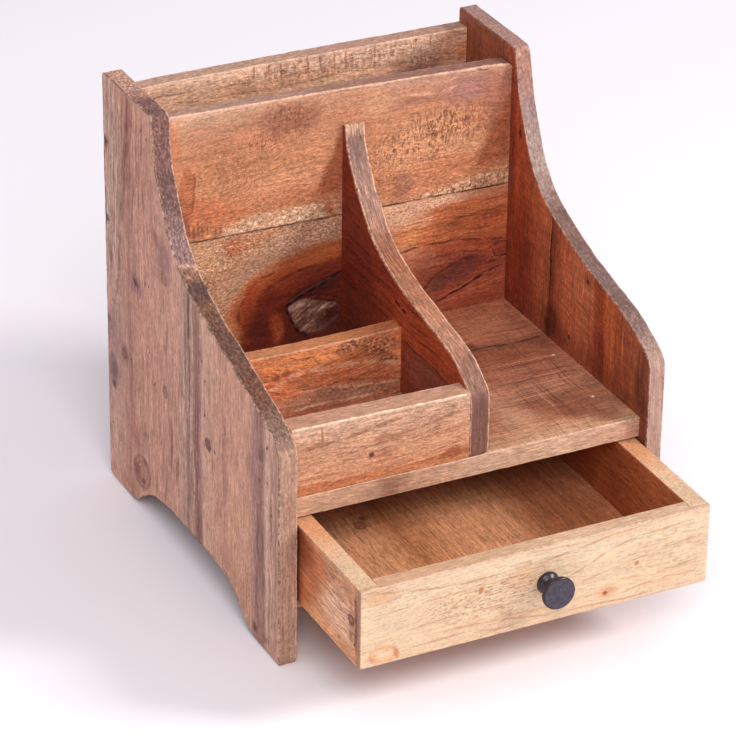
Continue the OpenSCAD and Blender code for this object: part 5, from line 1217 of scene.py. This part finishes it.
drawer_front_wood = wood(
    "drawer_front_wood", "xz", "u",
    [(39, (198, 164, 134)), (46, (204, 174, 144)), (58, (202, 172, 142)), (70, (200, 172, 142)), (82, (204, 178, 150)), (91, (196, 164, 136))],
    (39, 91), gain=(1.05, 1.08, 1.08), paint=paint_drawer_front, streak=0.16, streak_size=(50, 2.6), fine=0.16, pores=0.16, pore_size=(5, 0.9), speck=0.22, speck_size=(2.0, 1.1), mottle=0.08,
    alt=(200, 160, 120), alt_amount=0.4, bend=[(13, 4), (60, -1), (110, -2), (150, -3), (185, 2), (238, -2)], wander=(1.8, 26.0), seed=17.7,
    edge=[(13, (196, 154, 120)), (100, (194, 156, 124)), (150, (204, 168, 136)), (200, (196, 160, 130)), (238, (198, 164, 134))], edge_span=(13, 239),
    edge_spots=0.4, edge_grain=(7, 1.4, 1.4), worn=(208, 182, 156), middle=-72.0, rub=(0.4, 0.4), dark=(120, 76, 54), dirt=(0.35, 0.35), rough=(0.45, 0.62))


def paint_drawer_side(s, c, v, q):
    out = (13.5, 8)
    c = s.spot(c, v, -22, 74, 20, 24, patch((192, 112, 66), 0.85), at=out)
    c = s.spot(c, v, -4, 80, 20, 20, patch((144, 66, 32), 0.95), at=out)
    c = s.spot(c, v, -4, 54, 22, 20, patch((186, 102, 56), 0.85), at=out)
    c = s.spot(c, v, -34, 43, 40, 5, patch((218, 154, 108), 0.8), at=out)
    c = s.spot(c, v, -50, 62, 27, 20, patch((226, 180, 148), 0.9), at=out)
    flow = s.range(s.noise(s.stretch(q["lay"], 12, 1.2, 3, (1, 5, 2)), 1.0, 3, 0.6), 0.50, 0.60)
    c = s.spot(c, v, -30, 66, 50, 30, patch((140, 80, 48), 0.5, 0.4), at=out, strength=flow)
    c = s.spot(c, v, -73, 66, 3.6, 30, patch((116, 74, 58), 0.9), at=out)
    c = s.spot(c, v, -67, 66, 4.6, 20, patch((160, 112, 90), 0.7), at=out)
    c = s.spot(c, v, -66, 67, 4.6, 3.8, [(0, (178, 120, 98), 0.9), (0.4, (164, 104, 82), 0.9), (0.62, (98, 46, 36), 0.95), (0.82, (120, 66, 52), 0.8), (1, (170, 120, 96), 0)], at=out)
    c = s.spot(c, v, -66, 57, 2.8, 1.8, patch((124, 76, 60), 0.8), at=out)
    c = s.spot(c, v, -51, 46, 3, 2, patch((140, 90, 70), 0.7), at=out)
    c = s.spot(c, v, -54, 75, 8, 3, patch((190, 130, 104), 0.5), at=out)
    c = s.spot(c, v, -41, 69, 1.6, 1.4, patch((140, 86, 66), 0.7), at=out)
    # painted shade: the left drawer side's outer face darkens where it goes into the case
    near = s.math("MULTIPLY", s.range(q["w"], 23, 19), s.range(q["u"], -10, 4))
    c = s.mix(s.math("MULTIPLY", near, 0.68), c, s.col((98, 42, 22)))
    inner = s.mix(q["n1"], s.col((172, 95, 55)), s.col((190, 113, 70)))
    c = s.mix(s.range(q["w"], 19, 23), c, inner)
    # painted shade: the right drawer side darkens towards the rear
    rear_shade = s.math("MULTIPLY", s.range(q["w"], 200, 226), s.range(q["u"], -40, 6))
    c = s.mix(s.math("MULTIPLY", rear_shade, 0.55), c, s.col((130, 56, 28)))
    return c


drawer_side_wood = wood(
    "drawer_side_wood", "yz", "u",
    [(39.8, (204, 144, 106)), (44, (208, 148, 108)), (52, (206, 150, 116)), (64, (206, 150, 118)), (76, (198, 140, 106)), (91, (202, 146, 112))],
    (39.8, 91), gain=(1.04, 1.02, 0.96), paint=paint_drawer_side, streak=0.3, streak_size=(50, 3.4), fine=0.3, pores=0.34, pore_size=(6, 1.1), speck=0.34, speck_size=(2.8, 1.3), mottle=0.16, alt=(176, 110, 76),
    alt_amount=0.4, bend=[(-74, 0), (-40, 3), (0, -3), (60, 0)], seed=19.4,
    edge=[(-77, (208, 176, 142)), (-50, (210, 176, 142)), (-30, (212, 170, 134)), (-8, (206, 146, 104)), (150, (190, 130, 94))], edge_span=(-77, 150), edge_spots=0.45, edge_grain=(1.4, 6, 1.4),
    worn=(222, 180, 148), rub=(0.5, 0.5), dirt=(0.3, 0.3))


def paint_drawer_floor(s, c, v, q):
    fine = s.range(s.noise(s.stretch(q["lay"], 12, 1.0, 1, (2, 4, 0)), 1.0, 2, 0.6), 0.52, 0.62)
    c = s.mix(s.math("MULTIPLY", fine, 0.42), c, s.col((136, 84, 52)))
    c = s.spot(c, v, 79, 55, 4.5, 5.5, [(0, (90, 44, 30), 0.9), (0.4, (150, 90, 64), 0.7), (0.7, (96, 50, 36), 0.8), (1, (150, 96, 70), 0)])
    c = s.spot(c, v, 84, 62, 4, 3, patch((110, 60, 42), 0.7))
    c = s.spot(c, v, 196, 16, 34, 70, patch((160, 94, 60), 0.7))
    return c


drawer_floor_wood = wood(
    "drawer_floor_wood", "xy", "v",
    [(25, (180, 120, 84)), (45, (180, 122, 86)), (62, (188, 130, 92)), (80, (190, 130, 92)), (96, (168, 106, 68)), (104, (176, 114, 74)), (120, (190, 128, 90)), (140, (192, 130, 92)),
     (160, (186, 126, 88)), (180, (170, 106, 70)), (200, (168, 100, 66)), (226, (176, 110, 76))],
    (25, 226), gain=(1.13, 1.2, 1.22), wander=(1.3, 40.0), paint=paint_drawer_floor, streak=0.26, streak_size=(90, 3.0), fine=0.3, pores=0.3, pore_size=(8, 1.0), speck=0.42, speck_size=(2.6, 1.2), mottle=0.12, saw=0.12, seed=21.8)

inner_wood = wood(
    "drawer_back_wood", "xz", "u",
    [(45, (132, 70, 42)), (70, (140, 76, 46)), (90, (168, 104, 70))], (45, 90), streak=0.34, streak_size=(60, 4), seed=23.1)

runner_wood = wood(
    "runner_wood", "yz", "u",
    [(30, (184, 138, 106)), (40, (176, 130, 98))], (30, 40), streak=0.3, streak_size=(60, 4), seed=25.9)


# ------------------------------------------------------------ the boards ----
def cut_side(curve, seam):
    """Splits a side panel's outline into its front and rear boards.
    seam gives the places of the glued line, from its foot to its top."""
    pts = smooth(curve, 6)
    (f0, z0), (f1, z1) = seam
    at = lambda z: f0 + (f1 - f0) * min(1.0, max(0.0, (z - z0) / (z1 - z0)))
    front_top = [p for p in pts if p[0] < at(p[1]) - 0.8]
    rear_top = [p for p in pts if p[0] > at(p[1]) + 0.8]
    top = None
    for a, b in zip(pts, pts[1:]):
        if (a[0] - at(a[1])) * (b[0] - at(b[1])) <= 0:
            t = (a[0] - at(a[1])) / ((a[0] - at(a[1])) - (b[0] - at(b[1])))
            top = (a[0] + (b[0] - a[0]) * t, a[1] + (b[1] - a[1]) * t)
    low = smooth(ARCH, 4)
    front_low = [p for p in low if p[0] < f0 - 0.8]
    rear_low = [p for p in low if p[0] > f0 + 0.8]
    foot = (f0, 23.8)
    front = [(0, 0.6), (0.6, 0)] + front_low + [foot, (f0, z0 + 0.2), top] + front_top
    ftags = ["f"] * (2 + len(front_low)) + ["s", "s"] + ["f"] * (1 + len(front_top))
    rear = [foot] + rear_low + [(D, 0), (D, H - 2.5), (D - 1, H - 0.8), (D - 2.8, H), (178.5, H), (176.2, H - 1)] + rear_top + [top, (f0, z0 + 0.2)]
    rtags = ["f"] * (len(rear) - 2) + ["s", "s"]
    return (front, ftags), (rear, rtags)


def nail_marks(face, places):
    return [("hole", face, u, v, 1.05, 0.9) for u, v in places]


SCREWS = [(28, 98.5), (97, 98.5), (160, 101.5), (222, 98.5)]
BACK_NAILS = [(242.5, z) for z in (232, 180, 112, 40)]
MID_NAILS = [(183, z) for z in (258, 162, 118)]
LOW_NAILS = [(15.75, 138), (15.75, 115), (102, 138), (102, 115)]

(lf, lft), (lr, lrt) = cut_side(LEFT_OGEE, ((110, 24), (124, 186)))
(rf, rft), (rr, rrt) = cut_side(RIGHT_OGEE, ((124, 24), (124, 186)))
plug_front = [("hole", "lo", u, v, 3.35, 0.6) for u, v in SCREWS if u < 115]
plug_rear = [("hole", "lo", u, v, 3.35, 0.6) for u, v in SCREWS if u > 115]

def worn_feet(middle):
    """The side panels' feet are worn round at the bottom."""
    def shape(V):
        V = V.copy()
        k = np.clip((4.5 - V[:, 1]) / 4.5, 0, 1) ** 2
        V[:, 2] = middle + (V[:, 2] - middle) * (1 - 0.24 * k)
        V[:, 0] += 1.5 * k * (np.clip(1 - V[:, 0] / 12, 0, 1) - np.clip(1 - (248 - V[:, 0]) / 12, 0, 1))
        return V
    return shape


panel("left_front_board", "left_side_front_board", "case", left_wood, "yz", lf, lft, 0, LT, 1.0, shape=worn_feet(LT / 2),
      wear=(0.45, 0.6), rough=0.3, feats=plug_front + nail_marks("lo", LOW_NAILS),
      chips=[(0, 20, 5, 0.5), (0, 118, 5, 0.5), (60, 166, 5, 0.5), (100, 178, 6, 0.6), (32, 157, 4, 0.4), (36, 0, 5, 0.5)])
panel("left_rear_board", "left_side_rear_board", "case", left_wood, "yz", lr, lrt, 0, LT, 2.0, shape=worn_feet(LT / 2),
      wear=(0.45, 0.6), rough=0.3, feats=plug_rear + nail_marks("lo", BACK_NAILS + MID_NAILS)
      + [("crack", "lo", [(199, 153.4), (204, 156), (208, 159)], 1.0, 0.35)],
      chips=[(152, 209, 5, 0.7), (170, 243, 6, 0.5), (248, 232, 5, 0.7), (248, 180, 4, 0.6), (248, 112, 5, 0.6), (176, 275, 4, 0.5), (222, 0, 6, 0.5)])
panel("right_front_board", "right_side_front_board", "case", right_wood, "yz", rf, rft, RI, W, 3.0, shape=worn_feet((RI + W) / 2),
      wear=(0.4, 0.55), rough=0.3, feats=[("hole", "hi", u, v, 3.35, 0.6) for u, v in SCREWS if u < 115],
      chips=[(84, 174, 5, 0.5), (19, 156, 5, 0.4)])
panel("right_rear_board", "right_side_rear_board", "case", right_wood, "yz", rr, rrt, RI, W, 4.0, shape=worn_feet((RI + W) / 2),
      wear=(0.4, 0.55), rough=0.3, feats=[("hole", "hi", u, v, 3.35, 0.6) for u, v in SCREWS if u > 115] + nail_marks("hi", BACK_NAILS + MID_NAILS),
      chips=[(150, 209, 5, 0.6), (176, 275, 5, 0.6)])

panel("middle_upper_board", "middle_panel_upper_board", "case", mid_up_wood, "xz",
      [(LT, 188), (RI, 185), (RI, 263.4), (237.2, 265.4), (228, 266.2), (120, 269.6), (40, 271.2), (LT, 271.9)],
      ["s", "t", "f", "f", "f", "f", "f", "t"], MID_Y, MID_Y + MID_T, 5.0, wear=(0.5, 0.6), rough=0.2, wave=0.16,
      chips=[(222, 266, 4, 0.8), (150, 268.5, 5, 0.4), (60, 271, 8, 0.3)],
      feats=nail_marks("hi", [(132, 200)]))
panel("middle_lower_board", "middle_panel_lower_board", "case", mid_low_wood, "xz",
      [(LT, SHELF), (RI, SHELF), (RI, 185), (LT, 188)], "ttst", MID_Y, MID_Y + MID_T, 6.0, wave=0.12,
      feats=[("crack", "lo", [(90, 134.5), (100, 140), (112, 144), (124, 147.4)], 1.3, 0.7),
             ("crack", "lo", [(180, 113.6), (192, 116), (208, 121), (226, 127), (238, 131)], 1.0, 0.35),
             ("rough", "lo", [(89, 125), (90, 132), (99, 137), (111, 136), (123, 131.5), (124, 118), (113, 111), (99, 111)], 1.1, 5.0, 0.6)]
      + nail_marks("hi", [(132, 165), (132, 125)]))
panel("back_upper_board", "back_panel_upper_board", "case", back_wood, "xz",
      [(LT, 148), (RI, 148), (RI, 265.6), (120, 266), (40, 265.8), (LT, 264.6)], "stffft", BACK_Y, D, 7.0, wear=(0.5, 0.6), rough=0.25,
      chips=[(60, 266, 5, 0.5), (190, 266, 5, 0.4), (120, 266, 6, 0.3)])
panel("back_lower_board", "back_panel_lower_board", "case", back_wood, "xz",
      [(LT, 26), (RI, 26), (RI, 148), (LT, 148)], "ftst", BACK_Y, D, 8.0, rough=0.2)

panel("shelf_front", "shelf_front_board", "case", shelf_wood, "xy",
      [(LT, IN), (RI, IN), (RI, 124), (LT, 124)], "ftst", SHELF - SHELF_T, SHELF, 9.0, wear=(0.4, 0.35), rough=0.15, wave=0.14,
      feats=nail_marks("lo", [(132, 50)]))
panel("shelf_rear", "shelf_rear_board", "case", shelf_wood, "xy",
      [(LT, 124), (RI, 124), (RI, BACK_Y), (LT, BACK_Y)], "sttt", SHELF - SHELF_T, SHELF, 10.0, wave=0.14,
      feats=nail_marks("lo", [(132, 135)]))


def round_foot(V):
    """The divider's front end is rounded off at its lower right corner."""
    V = V.copy()
    fade = np.clip((30 - V[:, 0]) / 12, 0, 1)
    cx, cz, r = 138.5 - 5.5, 105.0 + 5.5, 5.5
    dx, dz = V[:, 2] - cx, cz - V[:, 1]
    d = np.hypot(np.clip(dx, 0, None), np.clip(dz, 0, None))
    out = (dx > 0) & (dz > 0) & (d > r)
    k = np.where(out, 1 - fade * (1 - r / np.maximum(d, 1e-6)), 1)
    V[:, 2] = np.where(out, cx + dx * k, V[:, 2])
    V[:, 1] = np.where(out, cz - dz * k, V[:, 1])
    return V


dv = smooth(DIV_OGEE, 6)
panel("divider", "curved_divider", "case", divider_wood, "yz",
      [(IN, SHELF), (MID_Y, SHELF), (MID_Y, 246)] + dv[:-1] + [(IN, 137)], ["t", "t"] + ["f"] * (len(dv) + 1), DIV, DIV + DIV_T, 11.0,
      step=1.8, grid=4.0, wear=(0.5, 0.6), rough=0.25, shape=round_foot,
      feats=[("crack", "lo", [(91, 160.6), (98, 160.9), (106, 162.2)], 1.0, 0.5)] + nail_marks("hi", LOW_NAILS),
      chips=[(158, 211, 4, 0.5), (60, 166, 5, 0.4), (8.5, 108, 3, 0.4)])
panel("rail", "front_rail", "case", rail_wood, "xz",
      [(LT, SHELF), (DIV, SHELF), (DIV, 147.5), (LT, 149.5)], "ttft", IN, 23, 12.0, wear=(0.4, 0.4), rough=0.15, grid=4.0)
panel("cross", "cross_divider", "case", cross_wood, "xz",
      [(LT, SHELF), (DIV, SHELF), (DIV, 148.5), (95, 147.6), (50, 147.5), (LT, 148.5)], "ttffft", 96.5, 107.5, 13.0, wear=(0.45, 0.4), rough=0.2, grid=4.0)
for nm, nd, x0, x1, sd in (("runner_left", "drawer_runner_left", LT, LT + 10, 14.0), ("runner_right", "drawer_runner_right", RI - 10, RI, 15.0)):
    panel(nm, nd, "case", runner_wood, "yz", [(IN, 31.5), (BACK_Y, 31.5), (BACK_Y, 39.5), (IN, 39.5)], "ffff", x0, x1, sd, wear=(0.3, 0.3), corner=0.8, rough=0.1,
          feats=nail_marks("hi" if x0 == LT else "lo", [(40, 35.5), (160, 35.5), (225, 35.5)]))

# ------------------------------------------------------------ the drawer ----
panel("drawer_face", "drawer_front", "drawer", drawer_front_wood, "xy",
      [(DX0, FRONT), (DX1, FRONT), (DX1, FRONT + 3), (DX1 - 12, FRONT + 3), (DX1 - 12, FRONT + 10), (DX0 + 12, FRONT + 10), (DX0 + 12, FRONT + 3), (DX0, FRONT + 3)],
      "ffttfttf", DZ0, DZ1, 16.0, wear=(0.28, 0.3), corner=0.9, rough=0.06, flip=True, grid=3.0,
      chips=[(13.5, -77, 3, 0.4), (150, -77, 8, 0.25), (238, -77, 3, 0.3)])
for nm, nd, x0, x1, face, sd in (("drawer_left", "drawer_side_left", DX0, DX0 + 12, "lo", 17.0), ("drawer_right", "drawer_side_right", DX1 - 12, DX1, "hi", 18.0)):
    panel(nm, nd, "drawer", drawer_side_wood, "yz", [(FRONT + 3, DZ0), (DEND, DZ0), (DEND, DZ1), (FRONT + 3, DZ1)], "ffft", x0, x1, sd,
          wear=(0.32, 0.35), corner=0.9, rough=0.1, feats=nail_marks(face, [(-70.5, 52.8), (-70.5, 80.8), (145, 52.8), (145, 80.8)]))
panel("drawer_rear", "drawer_back", "drawer", inner_wood, "xz",
      [(DX0 + 12, 45.8), (DX1 - 12, 45.8), (DX1 - 12, 89.8), (DX0 + 12, 89.8)], "ttft", 140, DEND, 19.0, wear=(0.3, 0.3), rough=0.1)
panel("drawer_floor", "drawer_bottom", "drawer", drawer_floor_wood, "xy",
      [(DX0 + 11.7, FRONT + 9.7), (DX1 - 11.7, FRONT + 9.7), (DX1 - 11.7, DEND), (DX0 + 11.7, DEND)], "ttft", 41.8, 45.8, 20.0, wave=0.1, rough=0.05)


# -------------------------------------------------------------- the knob ----
def lathe(name, profile, centre, start, mat, body, node, turns=72):
    """Turns (radius, distance out) points about the line that runs forwards from centre."""
    verts, faces = [], []
    n = len(profile)
    for i in range(turns):
        a = 2 * math.pi * i / turns
        for r, d in profile:
            verts.append(to_metres((centre[0] + r * math.cos(a), start - d, centre[1] + r * math.sin(a))))
    for i in range(turns):
        j = (i + 1) % turns
        for k in range(n):
            q = (k + 1) % n
            if profile[k][0] > 0 or profile[q][0] > 0:
                faces.append((i * n + k, j * n + k, j * n + q, i * n + q))
    me = bpy.data.meshes.new(name)
    me.from_pydata(verts, [], faces)
    bm = bmesh.new()
    bm.from_mesh(me)
    bmesh.ops.remove_doubles(bm, verts=bm.verts, dist=1e-7)
    bmesh.ops.recalc_face_normals(bm, faces=bm.faces)
    bm.to_mesh(me)
    bm.free()
    me.polygons.foreach_set("use_smooth", [True] * len(me.polygons))
    me.materials.append(mat)
    ob = bpy.data.objects.new(name, me)
    bpy.context.scene.collection.objects.link(ob)
    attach(ob, body)
    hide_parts(node)
    return ob


def metal(name, colour, tint, rough=(0.35, 0.55), metallic=1.0, size=1.5, bump=0.1, gain=1.0):
    """Dull metal with blotches of a second tone."""
    s = Stuff(name, gain)
    tc = s.node("TexCoord").outputs["Object"]
    p = s.vmath("SCALE", tc, 1000.0)
    n = s.noise(s.stretch(p, size, size, size), 1.0, 4, 0.6)
    fine = s.noise(s.stretch(p, size / 5, size / 5, size / 5), 1.0, 2, 0.6)
    s.put(s.b.inputs["Base Color"], s.mix(s.range(n, 0.4, 0.65), s.col(colour), s.col(tint)))
    s.put(s.b.inputs["Roughness"], s.range(n, 0.35, 0.65, rough[0], rough[1], "LINEAR"))
    s.b.inputs["Metallic"].default_value = metallic
    b = s.node("Bump")
    b.inputs["Strength"].default_value = bump
    b.inputs["Distance"].default_value = 0.0002
    s.put(b.inputs["Height"], s.math("ADD", n, s.math("MULTIPLY", fine, 0.3)))
    s.t.links.new(b.outputs[0], s.b.inputs["Normal"])
    return s.m


def knob_metal():
    """Blackened iron, polished at the foot and rim, with a paler matt front."""
    s = Stuff("knob_iron")
    p = s.vmath("MULTIPLY_ADD", s.node("TexCoord").outputs["Object"], (1000, 1000, 1000), (OX, OY, 0))
    x, y, z = s.split(p)
    n = s.noise(s.stretch(p, 2.4, 2.4, 2.4), 1.0, 4, 0.6)
    face = s.math("MULTIPLY", s.range(y, FRONT - 14.0, FRONT - 14.35), s.range(s.vmath("LENGTH", s.place(s.join(x, z, 0.0), (132, 66.5, 0), 0, (9.6, 9.6, 1))), 1.0, 0.93))
    black = s.mix(s.range(n, 0.4, 0.62), s.col((40, 33, 38)), s.col((52, 42, 48)))
    matt = s.mix(s.range(n, 0.4, 0.62), s.col((80, 74, 86)), s.col((66, 60, 70)))
    s.put(s.b.inputs["Base Color"], s.mix(face, black, matt))
    s.put(s.b.inputs["Roughness"], s.math("MULTIPLY_ADD", face, 0.24, s.range(n, 0.35, 0.65, 0.26, 0.36, "LINEAR")))
    s.put(s.b.inputs["Metallic"], s.math("MULTIPLY_ADD", face, 0.25, 0.35))
    b = s.node("Bump")
    b.inputs["Strength"].default_value = 0.12
    b.inputs["Distance"].default_value = 0.0002
    s.put(b.inputs["Height"], n)
    s.t.links.new(b.outputs[0], s.b.inputs["Normal"])
    return s.m


knob_iron = knob_metal()
neck = [(7, 1), (6.2, 2.2), (4.6, 3.6), (3.8, 5.4), (3.7, 7.5), (4.4, 9.4), (6.6, 10.9), (9.45, 11.6)]
knob_profile = ([(2, 0), (6.6, 0), (6.9, 0.1), (7, 0.35)] + smooth(neck, 5)
                + [(9.9, 11.75), (10.15, 12.0), (10.25, 12.35), (10.25, 13.5), (10.2, 13.8), (10.05, 14.05), (9.7, 14.3), (9.3, 14.42), (8.6, 14.48),
                   (4, 14.5), (0, 14.5), (0, 9), (2, 9)])
lathe("knob", knob_profile, (132, 66.5), FRONT, knob_iron, "drawer", "drawer_knob")

# -------------------------------------------------- screws, nails, plugs ----
screw_steel = metal("screw_steel", (176, 176, 182), (140, 138, 142), rough=(0.3, 0.5), size=0.8)
nail_steel = metal("nail_steel", (92, 74, 66), (70, 52, 46), rough=(0.45, 0.65), metallic=0.7, size=0.6)


def filler_paste():
    """Wood paste in the screw holes; each hole took it a little differently."""
    s = Stuff("wood_filler")
    p = s.vmath("MULTIPLY_ADD", s.node("TexCoord").outputs["Object"], (1000, 1000, 1000), (OX, OY, 0))
    x, y, z = s.split(p)
    n = s.noise(s.stretch(p, 1.6, 1.6, 1.6), 1.0, 3, 0.6)
    tone = s.mix(s.range(x, 120, 130), s.ramp(s.range(y, 0, 248, 0, 1, "LINEAR"), [(0.0, (158, 116, 102)), (0.2, (156, 114, 100)), (0.3, (96, 60, 52)), (0.5, (98, 62, 54)), (0.58, (146, 106, 94)), (0.72, (146, 104, 92)), (0.82, (118, 76, 66)), (1.0, (118, 76, 66))])[0], s.col((112, 58, 42)))
    s.put(s.b.inputs["Base Color"], s.mix(s.range(n, 0.4, 0.62, 0.0, 0.45), tone, s.mix(s.range(x, 120, 130), s.col((176, 134, 118)), s.col((134, 76, 56)))))
    s.put(s.b.inputs["Roughness"], s.range(n, 0.35, 0.65, 0.7, 0.85, "LINEAR"))
    b = s.node("Bump")
    b.inputs["Strength"].default_value = 0.3
    b.inputs["Distance"].default_value = 0.0002
    s.put(b.inputs["Height"], n)
    s.t.links.new(b.outputs[0], s.b.inputs["Normal"])
    return s.m


filler = filler_paste()
for n_, mat_ in (("left_shelf_screws", screw_steel), ("right_shelf_screws", screw_steel), ("knob_screw", screw_steel), ("knob_washer", screw_steel),
                 ("left_screw_plugs", filler), ("right_screw_plugs", filler), ("left_panel_nails", nail_steel), ("right_panel_nails", nail_steel),
                 ("divider_nails", nail_steel), ("runner_nails", nail_steel), ("drawer_nails", nail_steel)):
    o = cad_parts[n_]
    o.data.materials.clear()
    o.data.materials.append(mat_)

# -------------------------------------------------------- floor and light ----
floor_paint = Stuff("floor_paint")
floor_paint.b.inputs["Base Color"].default_value = (0.90, 0.875, 0.90, 1)
floor_paint.b.inputs["Roughness"].default_value = 0.85
floor_paint.b.inputs["Specular IOR Level"].default_value = 0.1
floor_mesh = bpy.data.meshes.new("floor")
floor_mesh.from_pydata([(-12, -12, 0), (12, -12, 0), (12, 12, 0), (-12, 12, 0)], [], [(0, 1, 2, 3)])
floor_mesh.materials.append(floor_paint.m)
floor = bpy.data.objects.new("floor", floor_mesh)
bpy.context.scene.collection.objects.link(floor)

world = bpy.data.worlds.new("world")
bpy.context.scene.world = world
world.use_nodes = True
sky = world.node_tree.nodes["Background"]
sky.inputs[0].default_value = (0.96, 0.92, 1.0, 1)
sky.inputs[1].default_value = 0.64

def lamp(name, towards, size, power, colour):
    """A round soft light, 3 m out in one direction."""
    data = bpy.data.lights.new(name, "AREA")
    data.shape = "DISK"
    data.size, data.energy, data.color = size, power, colour
    ob = bpy.data.objects.new(name, data)
    bpy.context.scene.collection.objects.link(ob)
    d = Vector(towards).normalized()
    ob.location = Vector((0, 0, 0.12)) + 3 * d
    ob.rotation_mode = "QUATERNION"
    ob.rotation_quaternion = d.to_track_quat("Z", "Y")


lamp("key", (1.34, -1.0, 1.0), 0.8, 62, (1.0, 0.97, 0.95))
lamp("fill", (-0.3, -0.8, 0.75), 1.6, 45, (1.0, 0.98, 0.97))
bpy.context.scene.view_settings.view_transform = "Standard"
